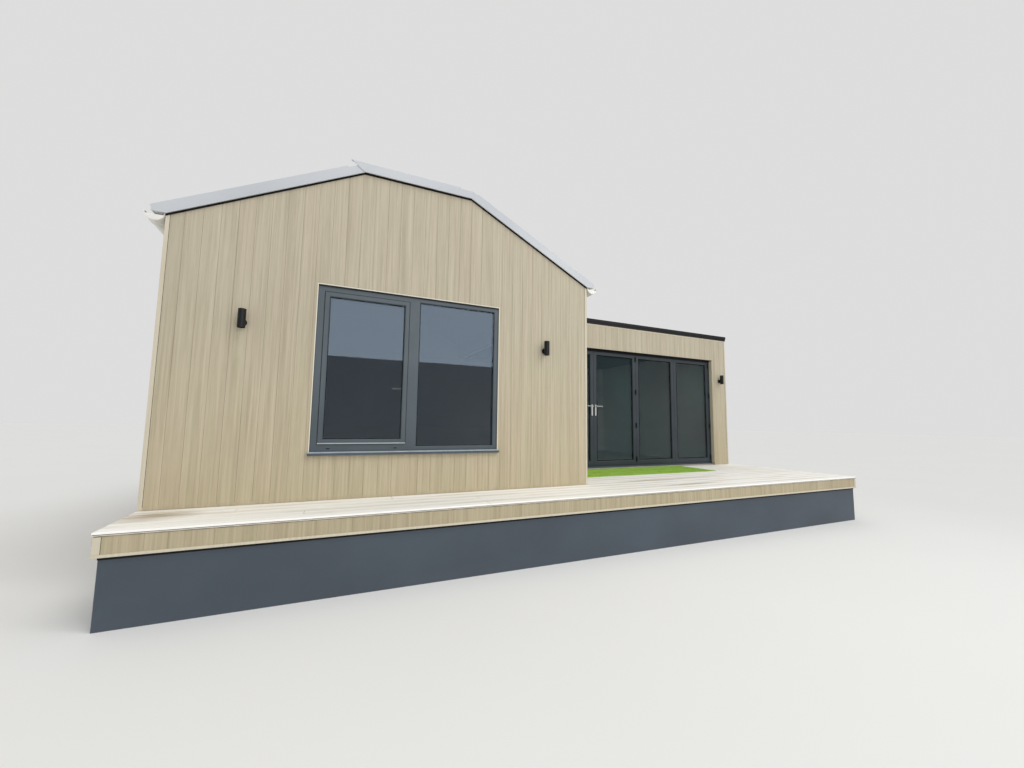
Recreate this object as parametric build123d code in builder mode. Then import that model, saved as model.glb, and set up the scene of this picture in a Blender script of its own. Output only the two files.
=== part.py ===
from build123d import *
from math import atan2, cos, sin, tan
import os

# Garden office pod: a front-gabled room with a truncated roof, a lower flat-roofed wing set back
# on its right, and one deck in front of both, all on a skirt that stands on level ground.
# X runs to the right along the front, Y runs to the back, Z is up, and the ground is at Z = 0.
# The origin is under the centre of the whole outline. All sizes are in millimetres.

os.makedirs("parts", exist_ok=True)

# Driving dimensions: the two rooms
gable_width = 4600
gable_depth = 5600
wing_width = 4500
wing_setback = 1420
base_height = 680
eaves_height = 2660
crown_height = 3518
crown_width = 1240
wing_height = 2600
wing_ceiling_height = 2430

# Driving dimensions: thicknesses of the shell
wall_core = 140
cladding_depth = 28
roof_depth = 78
roof_overhang = 100
verge_overhang = 15
floor_step = 20

# Driving dimensions: the deck and what stands under it
deck_depth = 746
deck_side_width = 180
board_depth = 25
nosing = 8
nosing_chamfer = 4
frame_depth = 150
joist_width = 50
joist_pitch = 600
fascia_depth = 20
skirt_inset = 28
skirt_depth = 18
post_width = 100
post_gap = 5
post_pitch = 1800

# Driving dimensions: the window
window_left = 1290
window_width = 2018
window_base = 478
window_height = 1722
window_recess = 12
window_depth = 70
window_face = 58
window_foot = 48
mullion_face = 122
sash_width = 868
sash_margin = 68
sash_foot = 77
sash_face = 50
sash_flange = 8
sash_lap = 12
sash_gap = 4
glass_depth = 28
glass_bite = 12
glass_set = 14
sill_height = 36
sill_projection = 38
sill_end = 14
sill_chamfer = 12
bead_chamfer = 8
frame_chamfer = 3
window_handle_height = 1157
window_handle_length = 108
window_plate_height = 90

# Driving dimensions: the folding door
door_left_pier = 175
door_right_pier = 404
door_height = 2118
door_recess = 70
door_face = 32
door_frame_depth = 75
threshold_height = 40
threshold_nose = 22
threshold_nose_height = 20
threshold_chamfer = 14
leaf_count = 4
leaf_gap = 4
leaf_depth = 58
stile_face = 72
top_rail_face = 58
bottom_rail_face = 74
handle_height = 1020
plate_height = 200
plate_width = 30
plate_depth = 10
plate_corner = 8
lever_length = 125
lever_thickness = 16
lever_standoff = 52
lever_corner = 4
hinge_radius = 9
hinge_plate = 20
hinge_plate_depth = 4.5
hinge_length = 90
hinge_count = 4
barrel_sides = 8
hinge_foot_inset = 135
hinge_head_inset = 113

# Driving dimensions: roof edges and rainwater goods
trim_depth = 7
trim_drop = 5
trim_leg = 70
trim_clearance = 1
lip_radius = 10
lip_wall = 3
crown_lip_notch = 145
left_lip_notch = 160
right_lip_notch = 70
drip_height = 13
drip_depth = 6
drip_end = 24
crown_flare = 116
gutter_radius = 76
gutter_wall = 4
gutter_bead = 6
bead_sides = 8
gutter_gap = 4
gutter_drop = 6
stop_end_drop = 22
bracket_pitch = 900
bracket_width = 30
bracket_depth = 4
bracket_set = 120
downpipe_radius = 34
downpipe_inset = 220
downpipe_lift = 40
clip_count = 2
clip_width = 16
kerb_height = 72
kerb_width = 60
edge_projection = 18
edge_step = 7
edge_depth = 6
edge_lap = 12
edge_leg = 70
notch_gap = 10
flashing_depth = 5
flashing_foot = 150
flashing_leg = 110

# Driving dimensions: lights and mat
light_radius = 34
light_height = 180
light_level = 1745
light_inset = 655
light_standoff = 70
light_plate_radius = 36
light_plate_depth = 12
light_arm_radius = 16
light_drop = 28
light_wall = 5
light_recess = 16
mat_tuck = 20
mat_left = 180
mat_length = 2932
mat_width = 858
mat_depth = 12

# The roof slopes
slope_run = (gable_width - crown_width) / 2
pitch = atan2(crown_height - eaves_height, slope_run)
slope_rise = tan(pitch)
slope_top = roof_depth / cos(pitch)
mitre_shift = roof_depth * tan(pitch / 2)

# The whole outline, which places the origin
gutter_lip = max(bracket_depth, gutter_bead - gutter_wall / 2)
gutter_reach = gutter_gap + 2 * gutter_radius + gutter_lip
left_reach = max(gutter_reach, roof_overhang + trim_depth)
trim_reach = 2 * trim_depth + trim_clearance + drip_depth
back_reach = max(verge_overhang + trim_reach, edge_projection)
total_x = left_reach + gable_width + wing_width + deck_side_width
total_y = deck_depth + gable_depth + back_reach

# Places along X
x_left = left_reach - total_x / 2
x_right = x_left + gable_width
x_wing = x_right + wing_width
x_deck = x_wing + deck_side_width
x_left_core = x_left + cladding_depth
x_left_inner = x_left_core + wall_core
x_right_core = x_right - cladding_depth
x_right_inner = x_right_core - wall_core
x_wing_core = x_wing - cladding_depth
x_wing_inner = x_wing_core - wall_core
x_crown_left = x_left + slope_run
x_crown_right = x_right - slope_run

# Places along Y
y_deck = -total_y / 2
y_front = y_deck + deck_depth
y_back = y_front + gable_depth
y_wing = y_front + wing_setback
y_front_core = y_front + cladding_depth
y_front_inner = y_front_core + wall_core
y_wing_core = y_wing + cladding_depth
y_wing_inner = y_wing_core + wall_core
y_back_core = y_back - cladding_depth
y_back_inner = y_back_core - wall_core

# Places along Z
z_deck = base_height
z_frame_top = z_deck - board_depth
z_frame = z_frame_top - frame_depth
z_floor = z_deck + floor_step
z_eaves = z_deck + eaves_height
z_crown = z_deck + crown_height
z_wing_ceiling = z_deck + wing_ceiling_height
z_wing_top = z_deck + wing_height
z_kerb = z_wing_top + kerb_height
z_door_head = z_floor + door_height


def block(x_from, x_to, y_from, y_to, z_from, z_to, mode=Mode.ADD):
    """A square-edged board, panel or opening between two corners."""
    with Locations(((x_from + x_to) / 2, (y_from + y_to) / 2, (z_from + z_to) / 2)):
        Box(x_to - x_from, y_to - y_from, z_to - z_from, mode=mode)


def profile(points, y_from, y_to, mode=Mode.ADD):
    """A length of constant outline, drawn as seen from the front, between two depths."""
    with BuildSketch(Plane.XZ.offset(-y_to)) as outline:
        with BuildLine():
            Polyline(points, close=True)
        make_face()
    extrude(outline.sketch, amount=y_to - y_from, mode=mode)


def cut_corner_bar(width, height, corner):
    """A bar's section with its four corners cut, in the sketch that calls it."""
    bar = Rectangle(width, height)
    chamfer(bar.vertices(), corner)


def under_roof(x):
    """Height of the underside of the gable roof at x."""
    from_left = z_eaves + (x - x_left) * slope_rise
    from_right = z_eaves + (x_right - x) * slope_rise
    return min(z_crown, from_left, from_right)


def gable_outline(x_from, x_to, z_from):
    """Outline of a wall that fills the gable up to the roof."""
    return [
        (x_from, z_from),
        (x_to, z_from),
        (x_to, under_roof(x_to)),
        (x_crown_right, z_crown),
        (x_crown_left, z_crown),
        (x_from, under_roof(x_from)),
    ]


def strip_outline(x_from, x_to, z_from):
    """Section of a side wall or its boards, bevelled to the roof above."""
    return [
        (x_from, z_from),
        (x_to, z_from),
        (x_to, under_roof(x_to)),
        (x_from, under_roof(x_from)),
    ]


# Posts stand on the ground in rows under the bearers and carry the floor and the deck.
skirt_set = nosing + skirt_inset
post_set = skirt_set + skirt_depth + post_gap + post_width / 2
row_bays = max(1, round(gable_depth / post_pitch))
row_first = y_front_core + post_width / 2
row_bay = (y_back - post_set - row_first) / row_bays
post_rows = [row_first + row * row_bay for row in range(row_bays + 1)]
gable_bays = max(1, round(gable_width / post_pitch))
gable_bay = (x_right_core - post_width / 2 - x_left - post_set) / gable_bays
post_columns = [x_left + post_set + column * gable_bay for column in range(gable_bays + 1)]
wing_bays = max(1, round(wing_width / post_pitch))
wing_bay = (x_wing - post_set - post_columns[-1]) / wing_bays
post_columns += [post_columns[-1] + (column + 1) * wing_bay for column in range(wing_bays)]

with BuildPart() as support_posts:
    for column_x in post_columns:
        for row_y in post_rows:
            if column_x < x_right_core or row_y > y_wing_core + post_width:
                block(
                    column_x - post_width / 2,
                    column_x + post_width / 2,
                    row_y - post_width / 2,
                    row_y + post_width / 2,
                    0,
                    z_frame,
                )
support_posts.part.label = "support_posts"
export_step(support_posts.part, "parts/support_posts.step")

# The floor frame: rims round both rooms, bearers over the rows of posts and joists across them.
with BuildPart() as floor_frame:
    block(x_left_core, x_right_core, y_front_core, y_front_core + joist_width, z_frame, z_frame_top)
    block(x_left_core, x_wing_core, y_back_core - joist_width, y_back_core, z_frame, z_frame_top)
    block(x_right_core, x_wing_core, y_wing_core, y_wing_core + joist_width, z_frame, z_frame_top)
    block(x_left_core, x_left_core + joist_width, y_front_core, y_back_core, z_frame, z_frame_top)
    block(x_right_core - joist_width, x_right_core, y_front_core, y_back_core, z_frame, z_frame_top)
    block(x_wing_core - joist_width, x_wing_core, y_wing_core, y_back_core, z_frame, z_frame_top)
    bearer_rows = post_rows[1:]
    for row_y in bearer_rows:
        row_end = x_wing_core if row_y > y_wing_core + post_width else x_right_core
        block(x_left_core, row_end, row_y - joist_width / 2, row_y + joist_width / 2, z_frame, z_frame_top)
    for room_from, room_to, room_front in (
        (x_left_core, x_right_core, y_front_core),
        (x_right_core, x_wing_core, y_wing_core),
    ):
        joist_bays = max(1, round((room_to - room_from) / joist_pitch))
        for joist in range(1, joist_bays):
            joist_x = room_from + joist * (room_to - room_from) / joist_bays
            block(
                joist_x - joist_width / 2,
                joist_x + joist_width / 2,
                room_front,
                y_back_core,
                z_frame,
                z_frame_top,
            )
floor_frame.part.label = "floor_frame"
export_step(floor_frame.part, "parts/floor_frame.step")

# The deck frame hangs in front of the floor frame; its rims stop behind the fascia.
x_deck_frame = x_left + nosing + fascia_depth
x_deck_frame_end = x_deck - nosing - fascia_depth
y_deck_frame = y_deck + nosing + fascia_depth

with BuildPart() as deck_frame:
    block(x_deck_frame, x_deck_frame_end, y_deck_frame, y_deck_frame + joist_width, z_frame, z_frame_top)
    block(x_deck_frame, x_right, y_front - joist_width, y_front, z_frame, z_frame_top)
    block(x_right, x_deck_frame_end, y_wing - joist_width, y_wing, z_frame, z_frame_top)
    for run_from, run_to, run_end in (
        (x_deck_frame, x_right, y_front),
        (x_right, x_deck_frame_end - joist_width, y_wing),
    ):
        joist_bays = max(1, round((run_to - run_from) / joist_pitch))
        for joist in range(joist_bays + 1):
            joist_x = run_from + joist * (run_to - run_from) / joist_bays
            block(joist_x, joist_x + joist_width, y_deck_frame, run_end, z_frame, z_frame_top)
deck_frame.part.label = "deck_frame"
export_step(deck_frame.part, "parts/deck_frame.step")

# Skirt panels close the base down to the ground, set in behind the fascia and the wall boards.
x_skirt = x_left + skirt_set
x_skirt_deck = x_deck - skirt_set
x_skirt_wing = x_wing - skirt_set
y_skirt = y_deck + skirt_set
y_skirt_wing = y_wing - skirt_set
y_skirt_back = y_back - skirt_set

with BuildPart() as skirt_front:
    block(x_skirt, x_skirt_deck, y_skirt, y_skirt + skirt_depth, 0, z_frame)
skirt_front.part.label = "skirt_front"
export_step(skirt_front.part, "parts/skirt_front.step")

with BuildPart() as skirt_back:
    block(x_skirt, x_skirt_wing, y_skirt_back - skirt_depth, y_skirt_back, 0, z_frame)
skirt_back.part.label = "skirt_back"
export_step(skirt_back.part, "parts/skirt_back.step")

with BuildPart() as skirt_left:
    block(x_skirt, x_skirt + skirt_depth, y_skirt + skirt_depth, y_skirt_back - skirt_depth, 0, z_frame)
skirt_left.part.label = "skirt_left"
export_step(skirt_left.part, "parts/skirt_left.step")

with BuildPart() as skirt_right:
    x_return = x_skirt_wing - skirt_depth
    y_return = y_skirt_wing - skirt_depth
    block(x_skirt_deck - skirt_depth, x_skirt_deck, y_skirt + skirt_depth, y_skirt_wing, 0, z_frame)
    block(x_return, x_skirt_deck, y_return, y_skirt_wing, 0, z_frame)
    block(x_return, x_skirt_wing, y_return, y_skirt_back - skirt_depth, 0, z_frame)
skirt_right.part.label = "skirt_right"
export_step(skirt_right.part, "parts/skirt_right.step")

# The fascia of short upright boards runs round the deck's open edges.
x_fascia = x_left + nosing
x_fascia_end = x_deck - nosing
y_fascia = y_deck + nosing
y_fascia_end = y_wing + fascia_depth

with BuildPart() as deck_fascia:
    block(x_fascia, x_fascia_end, y_fascia, y_fascia + fascia_depth, z_frame, z_frame_top)
    block(x_fascia, x_fascia + fascia_depth, y_fascia, y_front, z_frame, z_frame_top)
    block(x_fascia_end - fascia_depth, x_fascia_end, y_fascia, y_fascia_end, z_frame, z_frame_top)
    block(x_wing, x_fascia_end, y_wing, y_fascia_end, z_frame, z_frame_top)
deck_fascia.part.label = "deck_fascia"
export_step(deck_fascia.part, "parts/deck_fascia.step")

# The deck is one L-shaped layer of boards that run along X, and it turns the wing's corner.
y_deck_end = y_fascia_end + nosing

with BuildPart() as deck_boards:
    with BuildSketch(Plane.XY.offset(z_frame_top)):
        with BuildLine():
            Polyline(
                (x_left, y_deck),
                (x_deck, y_deck),
                (x_deck, y_deck_end),
                (x_wing, y_deck_end),
                (x_wing, y_wing),
                (x_right, y_wing),
                (x_right, y_front),
                (x_left, y_front),
                close=True,
            )
        make_face()
    extrude(amount=board_depth)
    open_edges = deck_boards.faces().sort_by(Axis.Z)[-1].edges()
    chamfer(open_edges.sort_by(Axis.Y)[0], nosing_chamfer)
deck_boards.part.label = "deck_boards"
export_step(deck_boards.part, "parts/deck_boards.step")

# One floor runs through both rooms and carries the walls.
with BuildPart() as floor:
    with BuildSketch(Plane.XY.offset(z_frame_top)):
        with BuildLine():
            Polyline(
                (x_left_core, y_front_core),
                (x_right_core, y_front_core),
                (x_right_core, y_wing_core),
                (x_wing_core, y_wing_core),
                (x_wing_core, y_back_core),
                (x_left_core, y_back_core),
                close=True,
            )
        make_face()
    extrude(amount=z_floor - z_frame_top)
floor.part.label = "floor"
export_step(floor.part, "parts/floor.step")

# Walls of the gabled room. The front and back walls run over the ends of the side walls.
x_window = x_left + window_left
x_window_end = x_window + window_width
z_window = z_deck + window_base
z_window_end = z_window + window_height
z_sill = z_window - sill_height

with BuildPart() as gable_front_wall:
    profile(gable_outline(x_left_core, x_right_core, z_floor), y_front_core, y_front_inner)
    block(x_window, x_window_end, y_front_core, y_front_inner, z_window, z_window_end, mode=Mode.SUBTRACT)
gable_front_wall.part.label = "gable_front_wall"
export_step(gable_front_wall.part, "parts/gable_front_wall.step")

with BuildPart() as gable_back_wall:
    profile(gable_outline(x_left_core, x_right_core, z_floor), y_back_inner, y_back_core)
gable_back_wall.part.label = "gable_back_wall"
export_step(gable_back_wall.part, "parts/gable_back_wall.step")

with BuildPart() as gable_left_wall:
    profile(strip_outline(x_left_core, x_left_inner, z_floor), y_front_inner, y_back_inner)
gable_left_wall.part.label = "gable_left_wall"
export_step(gable_left_wall.part, "parts/gable_left_wall.step")

with BuildPart() as gable_right_wall:
    profile(strip_outline(x_right_inner, x_right_core, z_floor), y_front_inner, y_wing_inner)
gable_right_wall.part.label = "gable_right_wall"
export_step(gable_right_wall.part, "parts/gable_right_wall.step")

# The two rooms are open to each other under a beam that carries the right eaves.
with BuildPart() as eaves_beam:
    profile(strip_outline(x_right_inner, x_right_core, z_wing_ceiling), y_wing_inner, y_back_inner)
eaves_beam.part.label = "eaves_beam"
export_step(eaves_beam.part, "parts/eaves_beam.step")

# Walls of the wing.
x_door_end = x_wing - door_right_pier
x_door = x_right + door_left_pier

with BuildPart() as wing_front_wall:
    block(x_right_core, x_wing_core, y_wing_core, y_wing_inner, z_floor, z_wing_ceiling)
    block(x_door, x_door_end, y_wing_core, y_wing_inner, z_floor, z_door_head, mode=Mode.SUBTRACT)
wing_front_wall.part.label = "wing_front_wall"
export_step(wing_front_wall.part, "parts/wing_front_wall.step")

with BuildPart() as wing_right_wall:
    block(x_wing_inner, x_wing_core, y_wing_inner, y_back_inner, z_floor, z_wing_ceiling)
wing_right_wall.part.label = "wing_right_wall"
export_step(wing_right_wall.part, "parts/wing_right_wall.step")

with BuildPart() as wing_back_wall:
    block(x_right_core, x_wing_core, y_back_inner, y_back_core, z_floor, z_wing_ceiling)
wing_back_wall.part.label = "wing_back_wall"
export_step(wing_back_wall.part, "parts/wing_back_wall.step")

# Upright boards clad every wall. They stop at the deck, or run down to the fascia's foot where
# there is no deck.
with BuildPart() as gable_front_cladding:
    profile(gable_outline(x_left, x_right, z_deck), y_front, y_front_core)
    block(x_window, x_window_end, y_front, y_front_core, z_sill, z_window_end, mode=Mode.SUBTRACT)
gable_front_cladding.part.label = "gable_front_cladding"
export_step(gable_front_cladding.part, "parts/gable_front_cladding.step")

with BuildPart() as gable_left_cladding:
    profile(strip_outline(x_left, x_left_core, z_frame), y_front_core, y_back_core)
    block(x_left, x_left_core, y_front, y_front_core, z_frame, z_frame_top)
gable_left_cladding.part.label = "gable_left_cladding"
export_step(gable_left_cladding.part, "parts/gable_left_cladding.step")

with BuildPart() as gable_right_cladding:
    profile(strip_outline(x_right_core, x_right, z_deck), y_front_core, y_wing)
gable_right_cladding.part.label = "gable_right_cladding"
export_step(gable_right_cladding.part, "parts/gable_right_cladding.step")

with BuildPart() as wing_front_cladding:
    block(x_right_core, x_wing, y_wing, y_wing_core, z_deck, z_wing_top)
    block(x_door, x_door_end, y_wing, y_wing_core, z_deck, z_door_head, mode=Mode.SUBTRACT)
wing_front_cladding.part.label = "wing_front_cladding"
export_step(wing_front_cladding.part, "parts/wing_front_cladding.step")

with BuildPart() as wing_right_cladding:
    block(x_wing_core, x_wing, y_wing_core, y_back_core, z_frame, z_wing_top)
    block(x_wing_core, x_wing, y_wing, y_wing_core, z_frame, z_frame_top)
wing_right_cladding.part.label = "wing_right_cladding"
export_step(wing_right_cladding.part, "parts/wing_right_cladding.step")

with BuildPart() as back_cladding:
    back_outline = [
        (x_left, z_frame),
        (x_wing, z_frame),
        (x_wing, z_wing_top),
        (x_right_core, z_wing_top),
        (x_right_core, under_roof(x_right_core)),
        (x_crown_right, z_crown),
        (x_crown_left, z_crown),
        (x_left, z_eaves),
    ]
    profile(back_outline, y_back_core, y_back)
back_cladding.part.label = "back_cladding"
export_step(back_cladding.part, "parts/back_cladding.step")

# The gable roof is three insulated panels mitred along the crown's two edges. Past the walls the
# slopes are cut level over the gutters, and the right slope stops short at the wing's roof.
y_roof = y_front - verge_overhang
y_roof_end = y_back + verge_overhang
y_notch = y_wing - edge_projection - notch_gap
z_panel_end = z_eaves - roof_overhang * slope_rise + slope_top


def slope_outline(side_x, outward):
    """Section of a slope panel; outward is -1 on the left and 1 on the right."""
    return [
        (side_x + outward * roof_overhang, z_eaves),
        (side_x, z_eaves),
        (side_x - outward * slope_run, z_crown),
        (side_x - outward * (slope_run - mitre_shift), z_crown + roof_depth),
        (side_x + outward * roof_overhang, z_panel_end),
    ]


with BuildPart() as roof_slope_left:
    profile(slope_outline(x_left, -1), y_roof, y_roof_end)
roof_slope_left.part.label = "roof_slope_left"
export_step(roof_slope_left.part, "parts/roof_slope_left.step")

with BuildPart() as roof_slope_right:
    profile(slope_outline(x_right, 1), y_roof, y_roof_end)
    block(x_right_core, x_right + roof_overhang, y_notch, y_roof_end, z_eaves, z_crown, mode=Mode.SUBTRACT)
roof_slope_right.part.label = "roof_slope_right"
export_step(roof_slope_right.part, "parts/roof_slope_right.step")

with BuildPart() as roof_crown:
    crown_outline = [
        (x_crown_left, z_crown),
        (x_crown_right, z_crown),
        (x_crown_right + mitre_shift, z_crown + roof_depth),
        (x_crown_left - mitre_shift, z_crown + roof_depth),
    ]
    profile(crown_outline, y_roof, y_roof_end)
roof_crown.part.label = "roof_crown"
export_step(roof_crown.part, "parts/roof_crown.step")

# Folded trims cover the ends of the panels: a face that hangs a little below the roof, clear of the
# boards, with a drip lip at its foot, a leg over the roof, and a rolled lip on top. The crown's trim
# lies in front of the slopes' trims and flares past the left mitre. The rolls stop at the corners.
low_shift = trim_drop * tan(pitch / 2)
high_shift = (roof_depth + trim_depth) * tan(pitch / 2)
leg_shift = mitre_shift + trim_depth / sin(pitch)
leg_rise = trim_depth / cos(pitch)
foot_drop = trim_drop / cos(pitch)
crown_near = trim_depth + trim_clearance
trim_rise = trim_depth + trim_clearance + 2 * lip_radius


def layer(y_panel, toward, near, far):
    """The two depths, front first, of a layer that lies near to far outside a verge at y_panel."""
    return sorted((y_panel + toward * near, y_panel + toward * far))


def rolled_lip(y_panel, toward, near, first, last):
    """A rolled lip along the top of a roof panel, from point first to point last."""
    first, last = sorted((first, last), reverse=toward < 0)
    start = Vector(first[0], y_panel + toward * near, first[1])
    run = Vector(last[0], y_panel + toward * near, last[1]) - start
    with BuildSketch(Plane(origin=start, x_dir=(0, toward, 0), z_dir=run)) as section:
        with Locations((trim_depth / 2, (trim_rise - lip_radius) / 2)):
            Rectangle(trim_depth, trim_rise - lip_radius)
        with Locations((trim_depth - lip_radius, trim_rise - lip_radius)):
            Circle(lip_radius)
            Circle(lip_radius - lip_wall, mode=Mode.SUBTRACT)
    extrude(section.sketch, amount=run.length)


def crown_trim(y_panel, toward):
    """The crown's trim, whose left end is cut on a slant through face and roll."""
    face = layer(y_panel, toward, crown_near, crown_near + trim_depth)
    z_foot = z_crown - trim_drop
    z_top = z_crown + roof_depth
    flare_foot = x_crown_left + low_shift
    flare_top = x_crown_left - crown_flare
    crown_face = [
        (flare_foot, z_foot),
        (x_crown_right - low_shift, z_foot),
        (x_crown_right + high_shift, z_top + trim_depth),
        (flare_top, z_top + trim_depth),
    ]
    profile(crown_face, *face)
    flare_slope = (crown_flare + low_shift) / (roof_depth + trim_depth + trim_drop)
    flare_tip = flare_top - flare_slope * (trim_rise - trim_depth)
    rolled_lip(y_panel, toward, crown_near, (flare_tip, z_top), (x_crown_right - crown_lip_notch, z_top))
    flare_cut = [
        (flare_top, z_top + trim_depth),
        (flare_tip, z_top + trim_rise),
        (flare_tip - lip_radius, z_top + trim_rise),
        (flare_tip - lip_radius, z_top),
        (flare_top + flare_slope * trim_depth, z_top),
    ]
    profile(flare_cut, *layer(y_panel, toward, -trim_leg, crown_near + trim_depth), Mode.SUBTRACT)
    drip = [
        (flare_foot, z_foot),
        (x_crown_right - low_shift, z_foot),
        (x_crown_right - low_shift, z_foot + drip_height),
        (flare_foot, z_foot + drip_height),
    ]
    drip_near = crown_near + trim_depth
    profile(drip, *layer(y_panel, toward, drip_near, drip_near + drip_depth))
    block(
        x_crown_left - mitre_shift + trim_clearance,
        x_crown_right + mitre_shift - trim_clearance,
        *layer(y_panel, toward, -trim_leg, crown_near),
        z_top,
        z_top + trim_depth,
    )


def slope_trim(y_panel, toward, side_x, outward, eaves_x, lip_notch):
    """A slope's trim from the crown down to eaves_x, where it is cut upright."""
    crown_x = side_x - outward * slope_run
    eaves_line = z_eaves + outward * (side_x - eaves_x) * slope_rise
    foot = [(eaves_x, eaves_line - foot_drop)]
    if outward * (eaves_x - side_x) > 0:
        foot = [(eaves_x, z_eaves), (side_x, z_eaves), (side_x, z_eaves - foot_drop)]
    face = foot + [
        (crown_x - outward * low_shift, z_crown - trim_drop),
        (crown_x + outward * high_shift, z_crown + roof_depth + trim_depth),
        (eaves_x, eaves_line + slope_top + leg_rise),
    ]
    profile(face, *layer(y_panel, toward, 0, trim_depth))
    leg_x = crown_x + outward * leg_shift
    leg_line = z_eaves + outward * (side_x - leg_x) * slope_rise
    leg = [
        (eaves_x, eaves_line + slope_top),
        (leg_x, leg_line + slope_top),
        (leg_x, leg_line + slope_top + leg_rise),
        (eaves_x, eaves_line + slope_top + leg_rise),
    ]
    profile(leg, *layer(y_panel, toward, -trim_leg, 0))
    drip_x = crown_x + outward * drip_end
    drip_line = z_eaves + outward * (side_x - drip_x) * slope_rise - foot_drop
    drip_foot_x = side_x if outward * (eaves_x - side_x) > 0 else eaves_x
    drip_foot = z_eaves + outward * (side_x - drip_foot_x) * slope_rise - foot_drop
    drip = [
        (drip_foot_x, drip_foot),
        (drip_x, drip_line),
        (drip_x, drip_line + drip_height / cos(pitch)),
        (drip_foot_x, drip_foot + drip_height / cos(pitch)),
    ]
    profile(drip, *layer(y_panel, toward, trim_depth, trim_depth + drip_depth))
    lip_x = crown_x + outward * lip_notch
    lip_line = z_eaves + outward * (side_x - lip_x) * slope_rise
    rolled_lip(y_panel, toward, 0, (eaves_x, eaves_line + slope_top), (lip_x, lip_line + slope_top))


def verge_trims(y_panel, toward, right_eaves_x):
    """The three trims of a verge; toward is -1 at the front and 1 at the back."""
    with BuildPart() as trims:
        crown_trim(y_panel, toward)
        slope_trim(y_panel, toward, x_left, -1, x_left - roof_overhang - trim_depth, left_lip_notch)
        slope_trim(y_panel, toward, x_right, 1, right_eaves_x, right_lip_notch)
    return trims


verge_trims_front = verge_trims(y_roof, -1, x_right + roof_overhang + trim_depth)
verge_trims_front.part.label = "verge_trims_front"
export_step(verge_trims_front.part, "parts/verge_trims_front.step")

verge_trims_back = verge_trims(y_roof_end, 1, x_right_core)
verge_trims_back.part.label = "verge_trims_back"
export_step(verge_trims_back.part, "parts/verge_trims_back.step")

# Half-round gutters hang under the level cut of each slope on brackets fixed to the wall. The
# right one is short and ends at the wing.
z_gutter = z_eaves - gutter_drop
y_gutter = y_roof
y_gutter_short = y_notch - gutter_gap


def gutter_run(side_x, outward, y_end):
    """A half-round gutter with stop ends, an outer bead and its brackets."""
    middle_x = side_x + outward * (gutter_gap + gutter_radius)
    with BuildPart() as run:
        with BuildSketch(Plane.XZ.offset(-y_end)) as section:
            with Locations((middle_x, z_gutter)):
                Circle(gutter_radius)
                Circle(gutter_radius - gutter_wall, mode=Mode.SUBTRACT)
                with Locations((0, gutter_radius)):
                    Rectangle(2 * gutter_radius, 2 * gutter_radius, mode=Mode.SUBTRACT)
            with Locations((middle_x + outward * (gutter_radius - gutter_wall / 2), z_gutter)):
                RegularPolygon(gutter_bead, bead_sides)
        extrude(section.sketch, amount=y_end - y_gutter)
        with BuildSketch(Plane.XZ.offset(-y_end)) as stop_end:
            with Locations((middle_x, z_gutter)):
                Circle(gutter_radius)
                with Locations((0, gutter_radius - stop_end_drop)):
                    Rectangle(2 * gutter_radius, 2 * gutter_radius, mode=Mode.SUBTRACT)
        extrude(stop_end.sketch, amount=gutter_wall)
        with Locations((0, y_gutter + gutter_wall - y_end, 0)):
            add(extrude(stop_end.sketch, amount=gutter_wall, mode=Mode.PRIVATE))
        bracket_count = max(2, round((y_end - y_gutter) / bracket_pitch) + 1)
        first_y = y_gutter + bracket_set
        bracket_bay = (y_end - bracket_set - first_y) / (bracket_count - 1)
        for bracket in range(bracket_count):
            bracket_y = first_y + bracket * bracket_bay
            with BuildSketch(Plane.XZ.offset(-bracket_y - bracket_width / 2)) as strap:
                with Locations((middle_x, z_gutter)):
                    Circle(gutter_radius + bracket_depth)
                    Circle(gutter_radius - gutter_wall / 2, mode=Mode.SUBTRACT)
                    with Locations((0, gutter_radius + bracket_depth)):
                        Rectangle(
                            2 * gutter_radius + 2 * bracket_depth,
                            2 * gutter_radius + 2 * bracket_depth,
                            mode=Mode.SUBTRACT,
                        )
            extrude(strap.sketch, amount=bracket_width)
            plate_x = sorted((side_x, side_x + outward * (gutter_gap + gutter_wall)))
            block(
                *plate_x,
                bracket_y - bracket_width / 2,
                bracket_y + bracket_width / 2,
                z_gutter - gutter_radius,
                z_gutter,
            )
    return run


gutter_left = gutter_run(x_left, -1, y_roof_end)
gutter_left.part.label = "gutter_left"
export_step(gutter_left.part, "parts/gutter_left.step")

gutter_right = gutter_run(x_right, 1, y_gutter_short)
gutter_right.part.label = "gutter_right"
export_step(gutter_right.part, "parts/gutter_right.step")

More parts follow.
